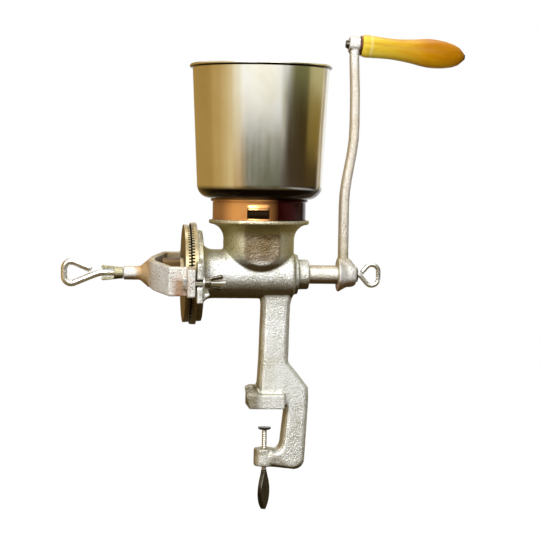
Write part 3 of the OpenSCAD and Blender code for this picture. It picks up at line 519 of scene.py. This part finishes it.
def sheet_metal(name, base, tint, rough, metallic, finish_and_shade):
    """Drawn sheet: satin, with faint lines along the draw, cloudy tints and shallow dents."""
    m, nt, shader, co = material(name)
    cloud = ramp(nt, grain(nt, co, 16.0, 4.0, 0.55, 0.6), [(0.35, tint), (0.60, base)])
    lines = grain(nt, stretched(nt, co, (300.0, 300.0, 8.0)), 1.0, 3.0, 0.6)
    streaked = mix(nt, spread(nt, lines, 0.4, 0.7, 0.0, 0.10), cloud, mix_of(base, tint, 0.8))
    spots = ramp(nt, grain(nt, co, 210.0, 2.0, 0.5), [(0.70, 0.0), (0.78, 0.25)])
    colour = mix(nt, spots, streaked, tuple(0.6 * c for c in tint))
    # the given function adds painted shade to the colour
    nt.links.new(finish_and_shade(nt, shader, co, colour), shader.inputs["Base Color"])
    shader.inputs["Metallic"].default_value = metallic
    nt.links.new(spread(nt, lines, 0.3, 0.7, rough * 0.9, rough * 1.15), shader.inputs["Roughness"])
    dents = bump(nt, shader, grain(nt, co, 26.0, 2.0, 0.5), 0.05, 1.0)
    bump(nt, shader, grain(nt, co, 700.0, 2.0, 0.6), 0.12, 0.12, dents)
    return m


def steel(name, base, dark, rough):
    """Plain or plated steel with fine scratches, dull patches and bright edges."""
    m, nt, shader, co = material(name)
    patch = ramp(nt, grain(nt, co, 120.0, 4.0, 0.6), [(0.38, dark), (0.58, base)])
    fleck = grain(nt, co, 1260.0, 2.0, 0.6)
    flecked = mix(nt, ramp(nt, fleck, [(0.30, 0.7), (0.42, 0.0)]), patch, tuple(0.45 * c for c in dark))
    lit = mix(nt, edges(nt, 0.51, 0.56), flecked, tuple(min(0.95, c * 1.32) for c in base))
    nt.links.new(lit, shader.inputs["Base Color"])
    shader.inputs["Metallic"].default_value = 1.0
    scratch = grain(nt, stretched(nt, co, (60.0, 900.0, 900.0)), 1.0, 2.0, 0.6)
    nt.links.new(spread(nt, scratch, 0.3, 0.7, rough * 0.75, rough * 1.3), shader.inputs["Roughness"])
    first = bump(nt, shader, fleck, 0.15, 0.15)
    bump(nt, shader, scratch, 0.08, 0.1, first)
    return m


def burr_iron(name, rim_r):
    """Grinding disc of hard iron: a pale turned rim, and painted shade on its lower half, its back face,
    its hub and over its teeth.
    """
    m, nt, shader, co = material(name)
    pale, khaki, brown = (0.47, 0.40, 0.25), (0.34, 0.26, 0.12), (0.09, 0.052, 0.02)
    tint = ramp(nt, grain(nt, co, 90.0, 4.0, 0.6), [(0.36, khaki), (0.56, pale)])
    x, y, z = axes(nt, co)
    up = math_node(nt, "SUBTRACT", z, SHAFT_Z * MM)
    squares = (math_node(nt, "MULTIPLY", v, v) for v in (y, up))
    r = math_node(nt, "SQRT", math_node(nt, "ADD", *squares))
    inside = math_node(nt, "LESS_THAN", r, (rim_r - BURR_RIM_W) * MM)
    middle = sum(TEETH_X) / 2 * MM
    layer = math_node(nt, "COMPARE", x, middle, (TEETH_X[1] - TEETH_X[0]) / 2 * MM)
    gap = math_node(nt, "MULTIPLY", inside, layer)
    nx, _, _ = facing(nt)
    # painted shade on the back face and the lower half
    back = spread(nt, nx, -0.6, -0.9, 0.0, 0.9)
    shade = math_node(nt, "MAXIMUM", spread(nt, up, 0.005, -0.025, 0.0, 0.8), back)
    shaded = mix(nt, shade, tint, mix_of(khaki, brown, 0.8))
    # painted shade on the hub
    shaded = mix(nt, math_node(nt, "LESS_THAN", x, HUB_X * MM), shaded, brown)
    # painted shade over the teeth, which face each other across a narrow gap
    nt.links.new(mix(nt, gap, shaded, TEETH_SHADE), shader.inputs["Base Color"])
    shader.inputs["Metallic"].default_value = 1.0
    fleck = grain(nt, co, 1200.0, 2.0, 0.6)
    nt.links.new(spread(nt, fleck, 0.3, 0.7, 0.34, 0.52), shader.inputs["Roughness"])
    bump(nt, shader, fleck, 0.2, 0.2)
    return m


def varnished_wood(name):
    """Turned hardwood under yellow varnish that deepens towards the end, its grain along the grip."""
    m, nt, shader, co = material(name)
    local = nt.nodes.new("ShaderNodeMapping")
    local.vector_type = "TEXTURE"
    local.inputs["Location"].default_value = [c * MM for c in HEAD]
    local.inputs["Rotation"].default_value = (0, GRIP_TURN, 0)
    nt.links.new(co, local.inputs["Vector"])
    co = local.outputs["Vector"]
    fibre = grain(nt, stretched(nt, co, (150.0, 150.0, 10.0)), 1.0, 5.0, 0.6, 0.4)
    broad = grain(nt, stretched(nt, co, (40.0, 40.0, 14.0)), 1.0, 3.0, 0.55, 0.6)
    _, _, z = axes(nt, co)
    yellow = ramp(nt, broad, [(0.35, (0.80, 0.54, 0.030)), (0.62, (0.90, 0.70, 0.080))])
    amber = ramp(nt, broad, [(0.35, (0.50, 0.185, 0.001)), (0.62, (0.66, 0.315, 0.002))])
    base = mix(nt, spread(nt, z, 0.15 * GRIP_L * MM, 0.7 * GRIP_L * MM), yellow, amber)
    pores = mix(nt, ramp(nt, fibre, [(0.34, 0.40), (0.48, 0.0)]), base, (0.42, 0.16, 0.006))
    ring = math_node(nt, "COMPARE", z, (GRIP_START + sum(GROOVES) / 2) * MM, 1.5 * MM)
    nt.links.new(mix(nt, ring, pores, mix(nt, 0.5, pores, (0.93, 0.76, 0.28))), shader.inputs["Base Color"])
    nt.links.new(spread(nt, fibre, 0.3, 0.7, 0.42, 0.32), shader.inputs["Roughness"])
    shader.inputs["Specular IOR Level"].default_value = 0.05
    shader.inputs["Coat Weight"].default_value = 0.15
    shader.inputs["Coat Roughness"].default_value = 0.1
    bump(nt, shader, fibre, 0.08, 0.2)
    return m


# Tones of the castings: bare tin, tarnish and deep tarnish, which also serve as painted shade on sides and
# undersides
SILVER, KHAKI, BROWN = (0.94, 0.965, 0.965), (0.40, 0.36, 0.17), (0.11, 0.074, 0.022)
WARM_SILVER, WARM_KHAKI, WARM_BROWN = (0.94, 0.93, 0.90), (0.44, 0.32, 0.12), (0.15, 0.08, 0.02)
TONES = (SILVER, KHAKI, BROWN)
WARM_TONES = (WARM_SILVER, WARM_KHAKI, WARM_BROWN)
SHAFT_TONES = ((0.92, 0.90, 0.85), (0.40, 0.33, 0.17), (0.14, 0.08, 0.03))
LOCK_TONES = ((0.45, 0.42, 0.28), (0.30, 0.25, 0.12), BROWN)

# Patches of colour, most of them painted shade and painted reflection: two corners of a box, its soft
# border, its strength, whether front faces alone take it, its colour
OLIVE, PANEL_REFLECTION, OCHRE = (0.58, 0.51, 0.23), (0.11, 0.050, 0.008), (0.46, 0.25, 0.05)
BODY_PATCHES = [
    # painted shade: olive over the throat
    ((-70, -60, 146), (60, 60, 184), 6, 0.8, False, OLIVE),
    # painted dark reflection on the throat's front panel, with painted glints in its grain
    ((-27, -60, 140), (14, 60, 176), 4, 1.0, True, PANEL_REFLECTION),
    # painted shade on the top of the seat's left lug
    ((-30, -30, -3), (-7, 30, 24), 4, 0.95, False, mix_of(KHAKI, BROWN, 0.72)),
    # darker band round the top of the lower boss
    ((-20, -30, -46), (8, 30, -38), 2, 0.5, False, mix_of(KHAKI, BROWN, 0.55)),
]
CRANK_PATCHES = [
    # a warmer tan over the arm
    ((45, -30, 150), (110, 30, 334), 8, 0.45, False, (0.60, 0.46, 0.26)),
    # dark brown on the lower left of the hub
    ((60, -40, 96), (76, 40, 121), 4, 1.0, False, (0.24, 0.10, 0.025)),
    # khaki on the top of the hub
    ((60, -40, 139), (84, 40, 154), 4, 0.7, False, (0.42, 0.33, 0.13)),
]
BRIDGE_SHADE_PATCHES = [
    # painted shade: ochre on the cone beside the boss
    ((-126, -46, 100), (-113, 60, 150), 3, 0.9, False, OCHRE),
    # painted shade over the far arm
    ((-108, 6, 110), (-76, 60, 150), 4, 0.9, False, mix_of(WARM_KHAKI, WARM_BROWN, 0.7)),
    # painted shade on the low end of the near arm
    ((-94, -90, 100), (-81, -30, 128), 4, 1.0, False, (0.36, 0.16, 0.05)),
]

CAST = tinned_casting(
    "tinned_casting", TONES, cloudy=0.35, pepper=0.65, over=0.2, turned_away=0.5, metallic=0.88,
    stains_and_shade=BODY_PATCHES)
CAST_WARM = tinned_casting(
    "tinned_casting_warm", WARM_TONES, cloudy=0.4, pepper=0.6, over=0.6, turned_away=0.6, metallic=0.35,
    stains_and_shade=CRANK_PATCHES)
CAST_BRIDGE = tinned_casting(
    "tinned_casting_bridge", WARM_TONES, cloudy=0.4, pepper=0.9, over=0.6, turned_away=0.95, metallic=0.3,
    stains_and_shade=BRIDGE_SHADE_PATCHES)
SHAFT = tinned_casting(
    "turned_shaft", SHAFT_TONES, cloudy=0.4, pepper=0.5, over=0.85, turned_away=0.9, metallic=0.8)
LOCK = tinned_casting(
    "olive_casting", LOCK_TONES, cloudy=0.5, pepper=0.7, over=0.4, turned_away=0.6, metallic=0.85)
SHEET = sheet_metal(
    "tinned_sheet", (0.90, 0.89, 0.83), (0.82, 0.78, 0.64), rough=0.19, metallic=1.0, finish_and_shade=shaded_below)
NECK = sheet_metal(
    "neck_sheet", (0.90, 0.47, 0.16), (0.80, 0.36, 0.11), rough=0.17, metallic=0.5, finish_and_shade=shaded_collar)
WIRE = steel("zinc_wire", (0.80, 0.80, 0.77), (0.66, 0.63, 0.54), rough=0.30)
NUT = steel("nut_steel", (0.24, 0.22, 0.18), (0.10, 0.08, 0.05), rough=0.22)
DARK = steel("dark_steel", (0.075, 0.07, 0.055), (0.04, 0.035, 0.025), rough=0.22)
COLLAR = steel("brown_steel", (0.16, 0.07, 0.04), (0.07, 0.03, 0.02), rough=0.40)
BALL = steel("ball_steel", (0.85, 0.85, 0.85), (0.75, 0.75, 0.75), rough=0.08)
FIXED_BURR = burr_iron("burr_iron_fixed", rim_r=49.0)
TURNING_BURR = burr_iron("burr_iron_turning", rim_r=47.0)
WOOD = varnished_wood("varnished_wood")


def dress(obj, mat, body):
    """Gives a piece its material, body and slot."""
    obj.data.materials.clear()
    obj.data.materials.append(mat)
    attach(obj, body)


# Castings. A hold says which points keep their place: bores and faces that meet other pieces

def near_axis(p, y, z, r):
    return (p[:, 1] - y) ** 2 + (p[:, 2] - z) ** 2 < r * r


def hold_round(y, z, r):
    return lambda p: near_axis(p, y, z, r)


def bolt_centre(side):
    """Y and Z of a bridge bolt, with -1 for the front one and 1 for the back one."""
    return side * BOLT_Y * math.cos(BRIDGE_ROLL), SHAFT_Z + side * BOLT_Y * math.sin(BRIDGE_ROLL)


def hold_body(p):
    bore = near_axis(p, 0, SHAFT_Z, 9.9) & (p[:, 0] > 15)
    chamber = near_axis(p, 0, SHAFT_Z, 20.3) & (p[:, 0] < 25) & (p[:, 0] > -69)
    clamp = (p[:, 0] ** 2 + p[:, 1] ** 2 < 3.4 ** 2) & (p[:, 2] < -30)
    seat = ((p[:, 0] - THROAT_X) ** 2 + p[:, 1] ** 2 < 46.0 ** 2) & (p[:, 2] > 177)
    jaw = (p[:, 2] > -0.6) & (p[:, 2] < 0.4) & (np.abs(p[:, 0]) < 16) & (np.abs(p[:, 1]) < 18.5)
    disc = (p[:, 0] < -69.1) & near_axis(p, 0, SHAFT_Z, 48.2)
    return bore | chamber | clamp | seat | jaw | disc


def hold_bridge(p):
    bores = near_axis(p, 0, SHAFT_Z, 5.0)
    for side in (-1, 1):
        bores |= near_axis(p, *bolt_centre(side), 3.7)
    return bores


def hold_crank(p):
    square = (np.abs(p[:, 1]) < 6.4) & (np.abs(p[:, 2] - SHAFT_Z) < 6.4)
    c, s = math.cos(GRIP_DROOP), math.sin(GRIP_DROOP)
    along = (p[:, 0] - HEAD[0]) * c - (p[:, 2] - HEAD[2]) * s
    up = (p[:, 0] - HEAD[0]) * s + (p[:, 2] - HEAD[2]) * c
    spindle = (p[:, 1] ** 2 + up ** 2 < 3.9 ** 2) & (np.abs(along) < 9)
    return square | spindle


mill_body = casting("body_casting", "mill_body", voxel=0.95, rounds=5, hold=hold_body, lumps=0.22)
dress(mill_body, CAST, "frame")
disc_bridge = casting("bridge", "disc_bridge", voxel=0.6, rounds=16, hold=hold_bridge, lumps=0.25)
dress(disc_bridge, CAST_BRIDGE, "frame")
crank_casting = casting("crank_arm", "crank_casting", voxel=0.5, rounds=18, hold=hold_crank, lumps=0.2)
dress(crank_casting, CAST_WARM, "rotor")
lock_wing = casting("lock_nut", "lock_wing", voxel=0.3, rounds=4, hold=hold_round(0, SHAFT_Z, 3.8))
dress(lock_wing, LOCK, "lock_nut")
for tag, side in (("front", -1), ("back", 1)):
    hold_bore = hold_round(*bolt_centre(side), 3.3)
    nut = casting("wing_nut_" + tag, "wing_" + tag, voxel=0.3, rounds=4, hold=hold_bore)
    dress(nut, NUT, tag + "_nut")
    dress(machined("bridge_washer_" + tag, "washer_" + tag, 0.25), WIRE, tag + "_washer")
    dress(machined("bridge_bolt_" + tag, "bolt_head_" + tag, 0.4), WIRE, "frame")

# Hopper: a drawn bowl whose rim is rolled outwards, on a collar with lanced tabs
BOWL_Z, BOWL_H = 202.3, 126.0
RIM_Z = BOWL_Z + BOWL_H
SHEET_T = 0.8
BOWL_R, BOWL_TOP_R, SHOULDER = 60.3, 65.8, 13.5
SHOULDER_Z = BOWL_Z - SHEET_T + SHOULDER
HOLE_R = 45.0
ROLL_R, ROLL_OUT, ROLL_BELOW = 2.1, 0.7, 2.0
BOWL_STEPS, RISE_STEPS, ROLL_STEPS = 18, 24, 24


def bowl_wall(inset):
    """The bowl's wall from its hole to its rim, as [radius, height] rows."""
    bend = arc(BOWL_R - SHOULDER, SHOULDER_Z, SHOULDER - inset, -90, 0, BOWL_STEPS)
    (r0, z0), (r1, z1) = bend[-1], (BOWL_TOP_R - inset, RIM_Z - ROLL_BELOW)
    shares = [k / RISE_STEPS for k in range(1, RISE_STEPS + 1)]
    rise = [(r0 + (r1 - r0) * t, z0 + (z1 - z0) * t) for t in shares]
    return [(HOLE_R, BOWL_Z - SHEET_T + inset)] + bend + rise


roll = arc(BOWL_TOP_R + ROLL_OUT, RIM_Z, ROLL_R, -95, 205, ROLL_STEPS)
hopper = lathe("hopper_sheet", bowl_wall(0.0) + roll + bowl_wall(SHEET_T)[::-1], segments=160)
hopper.data.set_sharp_from_angle(angle=math.radians(50))
place(hopper, shift(THROAT_X, 0, 0))
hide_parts("hopper_bowl")
dress(hopper, SHEET, "hopper")
dress(machined("hopper_neck", "hopper_collar", 0.2, angle=35), NECK, "hopper")

# Grip, turned from one piece of wood. GRIP_ROWS hold its radius at shares of its length
FOOT_R, WAIST_R, BELLY_R, END_R = 11.05, 10.1, 13.9, 4.6
GRIP_BORE_R = 3.06
GROOVE_DEPTH, GROOVE_W = 0.35, 0.45
FOOT_EASE = ((0.8, 0.0), (0.25, 0.3))
GRIP_STEPS = 100
GRIP_ROWS = [
    (0, FOOT_R - 0.8), (0.05, FOOT_R), (0.16, (FOOT_R + WAIST_R) / 2 - 0.2), (0.3, WAIST_R),
    (0.46, (WAIST_R + BELLY_R) / 2 - 0.7), (0.66, BELLY_R), (0.8, 0.95 * BELLY_R), (0.9, 0.8 * BELLY_R),
    (0.96, 0.6 * BELLY_R), (1, END_R),
]


def turned(x):
    """The grip's radius at a share of its length, on a smooth curve through its rows."""
    last = len(GRIP_ROWS) - 1
    i = 0
    while i < last - 1 and x > GRIP_ROWS[i + 1][0]:
        i += 1
    a, b, c, d = (GRIP_ROWS[min(max(k, 0), last)][1] for k in range(i - 1, i + 3))
    u = (x - GRIP_ROWS[i][0]) / (GRIP_ROWS[i + 1][0] - GRIP_ROWS[i][0])
    return b + u * ((c - a) / 2 + u * (a - 2.5 * b + 2 * c - d / 2 + u * (1.5 * (b - c) + (d - a) / 2)))


def grooves(z):
    return sum(GROOVE_DEPTH * math.exp(-((z - at) / GROOVE_W) ** 2) for at in GROOVES)


profile = [(GRIP_BORE_R, GRIP_L), (GRIP_BORE_R, 0.0)]
profile += [(turned(0) - ease, z) for ease, z in FOOT_EASE]
for k in range(1, GRIP_STEPS + 1):
    z = GRIP_L * k / GRIP_STEPS
    profile.append((turned(k / GRIP_STEPS) - grooves(z), z))
grip = lathe("wooden_grip", profile, segments=96)
grip.data.set_sharp_from_angle(angle=math.radians(55))
place(grip, shift(*HEAD) @ Matrix.Rotation(GRIP_TURN, 4, "Y") @ shift(0, 0, GRIP_START))
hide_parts("grip")
dress(grip, WOOD, "grip")
dress(machined("grip_spindle", "grip_pin", 0.5, segments=3), DARK, "rotor")
dress(machined("grip_washer_inner", "grip_collar", 0.3), COLLAR, "rotor")

# Eye screws of bent rod. One end of each threaded rod reaches into the plain wire of its eye
EYE_PITCH = 1.25
ADJUST_EYE_X, ADJUST_ROD_X = -161.8, -155.7
ADJUST_WIRE_R, ADJUST_ROD_R, ADJUST_ROD_L = 3.12, 3.18, 47.4
CRANK_EYE_X, CRANK_ROD_X = 91.0, 69.4
CRANK_WIRE_R, CRANK_ROD_R, CRANK_ROD_L = 2.24, 2.26, 20.0

adjust_wire = tube("adjust_loop", eye_path(22.5, 10.4, ADJUST_WIRE_R, start=-8.0), ADJUST_WIRE_R)
place(adjust_wire, shift(ADJUST_EYE_X, 0, SHAFT_Z) @ Matrix.Scale(-1, 4, (1, 0, 0)))
fix_normals(adjust_wire.data)
adjust_rod = threaded_rod("adjust_rod", ADJUST_ROD_L, ADJUST_ROD_R, EYE_PITCH)
place(adjust_rod, shift(ADJUST_ROD_X, 0, SHAFT_Z) @ ALONG_X)
adjuster = join("adjusting_eye", [adjust_wire, adjust_rod])
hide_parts("adjusting_screw")
dress(adjuster, WIRE, "adjuster")

crank_wire = tube("crank_loop", eye_path(8.1, 10.1, CRANK_WIRE_R, start=-2.3), CRANK_WIRE_R)
place(crank_wire, shift(CRANK_EYE_X, 0, SHAFT_Z))
crank_rod = threaded_rod("crank_rod", CRANK_ROD_L, CRANK_ROD_R, EYE_PITCH)
place(crank_rod, shift(CRANK_ROD_X, 0, SHAFT_Z) @ ALONG_X)
crank_eye = join("crank_eye", [crank_wire, crank_rod])
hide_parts("crank_screw")
dress(crank_eye, WIRE, "crank_screw")
dress(machined("crank_washer", "crank_collar", 0.3), DARK, "crank_washer")

# Clamp screw: the forged leaf is cut from the node, and its rod and tip are made anew
LEAF_TOP, LEAF_HOLD = -61.2, -61.7
CLAMP_ROD_Z, CLAMP_ROD_L, CLAMP_ROD_R, CLAMP_PITCH = -62.5, 40.2, 2.58, 2.0
AXIS_R = 0.01
TIP = [(AXIS_R, -23.4), (1.75, -23.4), (1.75, -21.25), (1.5, -21.06), (AXIS_R, -21.06)]

leaf = copy_node("clamp_screw", "clamp_leaf")
remesh(leaf, voxel=0.35)
bm = bmesh.new()
bm.from_mesh(leaf.data)
bmesh.ops.delete(bm, geom=[v for v in bm.verts if v.co.z > LEAF_TOP * MM], context="VERTS")
bmesh.ops.holes_fill(bm, edges=[e for e in bm.edges if e.is_boundary])
bm.to_mesh(leaf.data)
bm.free()
soften(leaf.data, rounds=9, hold=lambda p: p[:, 2] > LEAF_HOLD)
rod = threaded_rod("clamp_rod", CLAMP_ROD_L, CLAMP_ROD_R, CLAMP_PITCH, depth=0.22)
place(rod, shift(0, 0, CLAMP_ROD_Z))
clamp = join("clamp_spindle", [rod, lathe("clamp_tip", TIP, segments=32)])
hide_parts("clamp_screw")
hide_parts("clamp_screw")
dress(clamp, WIRE, "clamp_screw")
dress(leaf, DARK, "clamp_screw")
dress(machined("clamp_pad", "clamp_swivel", 0.3), DARK, "pad")

# Nodes whose own shape is right
for node, mat in (("stationary_disc", FIXED_BURR), ("rotating_disc", TURNING_BURR), ("disc_screws", DARK),
                  ("auger", SHAFT), ("drive_pin", DARK), ("thrust_ball", BALL)):
    mesh = NODES[node].data
    mesh.materials.clear()
    mesh.materials.append(mat)


# Stage and light

def seen_only(nt):
    """1 for rays that should meet the white background, 0 for the rest."""
    path = nt.nodes.new("ShaderNodeLightPath").outputs
    seen = math_node(nt, "MAXIMUM", path["Is Camera Ray"], path["Is Glossy Ray"])
    return math_node(nt, "MAXIMUM", seen, path["Is Transmission Ray"])


def either(nt, share, no, yes):
    """One shader where the share is 0, and the other where it is 1."""
    n = nt.nodes.new("ShaderNodeMixShader")
    for socket, value in zip(n.inputs, (share, no, yes)):
        nt.links.new(value, socket)
    return n.outputs[0]


def background(nt, strength):
    n = nt.nodes.new("ShaderNodeBackground")
    n.inputs["Color"].default_value = (1, 1, 1, 1)
    n.inputs["Strength"].default_value = strength
    return n.outputs[0]


def emission(nt, colour, strength):
    n = nt.nodes.new("ShaderNodeEmission")
    n.inputs["Color"].default_value = (*colour, 1)
    n.inputs["Strength"].default_value = strength
    return n.outputs[0]


def rectangle(x0, y0, x1, y1, z):
    """Points and face of a level rectangle."""
    return [(x0, y0, z), (x1, y0, z), (x1, y1, z), (x0, y1, z)], [(0, 1, 2, 3)]


SURROUND_LIGHT, SURROUND_SEEN = 0.20, 1.0
FLOOR_Z, FLOOR_HALF = -420.0, 6000.0
FLOOR_GREY, FLOOR_GLOW, FLOOR_GLOW_SHARE = (0.38, 0.38, 0.38), 1.39, 0.7
WHITE = (1, 1, 1)

world = bpy.context.scene.world or bpy.data.worlds.new("world")
bpy.context.scene.world = world
world.use_nodes = True
nt = world.node_tree
nt.nodes.clear()
surround = either(nt, seen_only(nt), background(nt, SURROUND_LIGHT), background(nt, SURROUND_SEEN))
nt.links.new(surround, nt.nodes.new("ShaderNodeOutputWorld").inputs["Surface"])

floor = new_object("floor", *rectangle(-FLOOR_HALF, -FLOOR_HALF, FLOOR_HALF, FLOOR_HALF, FLOOR_Z))
floor_mat, nt = bare_material("pale_floor")
plain = nt.nodes.new("ShaderNodeBsdfDiffuse")
plain.inputs["Color"].default_value = (*FLOOR_GREY, 1)
glow_share = math_node(nt, "MULTIPLY", seen_only(nt), FLOOR_GLOW_SHARE)
floor_shader = either(nt, glow_share, plain.outputs[0], emission(nt, WHITE, FLOOR_GLOW))
nt.links.new(floor_shader, nt.nodes.new("ShaderNodeOutputMaterial").inputs["Surface"])
floor.data.materials.append(floor_mat)

# Cards: directions in degrees from the front, with right positive, then heights and a colour
CARD_R, CARD_STEPS = 650.0, 24
CARDS = [
    ("deep_gold_card", -172, -95, -150, 700, (0.40, 0.25, 0.07)),
    ("gold_card", -95, -74, -150, 700, (0.50, 0.33, 0.11)),
    ("mid_gold_card", -74, -63, -150, 700, (0.58, 0.41, 0.17)),
    ("pale_gold_card", -63, -52, -150, 700, (0.67, 0.51, 0.25)),
    ("cream_card", -52, -38, 215, 700, (0.84, 0.77, 0.58)),
    ("low_gold_card", -52, -38, -150, 215, (0.50, 0.31, 0.11)),
    ("low_brown_card", -38, -30, -150, 228, (0.24, 0.15, 0.05)),
    ("pale_olive_card", 41, 48, 300, 700, (0.46, 0.46, 0.30)),
    ("olive_card", 48, 80, 300, 700, (0.20, 0.20, 0.08)),
    ("low_olive_card", 29, 37, 240, 300, (0.28, 0.26, 0.12)),
    ("brown_card", 37, 80, 215, 300, (0.04, 0.022, 0.003)),
    ("edge_card", 80, 130, 300, 700, (0.52, 0.47, 0.24)),
    ("low_edge_card", 80, 130, 215, 300, (0.24, 0.16, 0.03)),
    ("grey_card", -30, 28, 15, 232, (0.06, 0.06, 0.012)),
    ("table_card", 28, 130, 50, 218, (0.04, 0.02, 0.006)),
]
TABLE, TABLE_COLOUR = (-900, -1100, 900, 700, -160.0), (0.20, 0.15, 0.07)


def reflector(name, verts, faces, colour):
    """A plain studio card, which shows in reflections and nowhere else."""
    obj = new_object(name, verts, faces)
    m, nt = bare_material(name)
    nt.links.new(emission(nt, colour, 1.0), nt.nodes.new("ShaderNodeOutputMaterial").inputs["Surface"])
    obj.data.materials.append(m)
    obj.visible_camera = False
    obj.visible_diffuse = False
    obj.visible_shadow = False
    obj.visible_transmission = False


def curved_card(name, start, end, low, high, colour):
    """A card that stands upright on a ring round the hopper."""
    ring = []
    for k in range(CARD_STEPS + 1):
        a = math.radians(start + (end - start) * k / CARD_STEPS)
        ring.append((THROAT_X + CARD_R * math.sin(a), -CARD_R * math.cos(a)))
    verts = [(*q, z) for z in (low, high) for q in ring]
    n = len(ring)
    reflector(name, verts, [(k, k + 1, n + k + 1, n + k) for k in range(CARD_STEPS)], colour)


for card in CARDS:
    curved_card(*card)
reflector("table_top", *rectangle(*TABLE), TABLE_COLOUR)


def area(name, stand, aim, size, watts):
    """A soft lamp, with its sizes and places in metres."""
    light = bpy.data.lights.new(name, "AREA")
    light.shape = "RECTANGLE"
    light.size, light.size_y = size
    light.energy = watts
    obj = add(name, light)
    obj.location = stand
    obj.rotation_euler = (Vector(aim) - Vector(stand)).to_track_quat("-Z", "Y").to_euler()


area("key", stand=(-0.65, -1.25, 1.0), aim=(0, 0, 0.15), size=(0.8, 0.7), watts=21.0)
area("front", stand=(0.0, -1.7, 0.95), aim=(0, 0, 0.1), size=(1.5, 1.1), watts=9.0)
area("top", stand=(0.1, 0.3, 1.5), aim=(0, 0, 0.1), size=(0.9, 0.9), watts=11.0)

# Camera, in metres
TARGET, DISTANCE = Vector((0.003, 0.0, 0.133)), 1.64
AZIMUTH, ELEVATION, TILT = (math.radians(a) for a in (-6.5, 3.0, 0.9))

camera_data = bpy.data.cameras.new("camera")
camera_data.sensor_width = 36.0
camera_data.lens = 113.0
camera_data.dof.use_dof = False
camera = add("camera", camera_data)
level = math.cos(ELEVATION)
away = Vector((math.sin(AZIMUTH) * level, -math.cos(AZIMUTH) * level, math.sin(ELEVATION)))
camera.location = TARGET + DISTANCE * away
turn = (TARGET - camera.location).to_track_quat("-Z", "Y").to_matrix().to_4x4()
camera.matrix_world = Matrix.Translation(camera.location) @ turn @ Matrix.Rotation(TILT, 4, "Z")
bpy.context.scene.camera = camera
bpy.context.scene.view_settings.view_transform = "Standard"
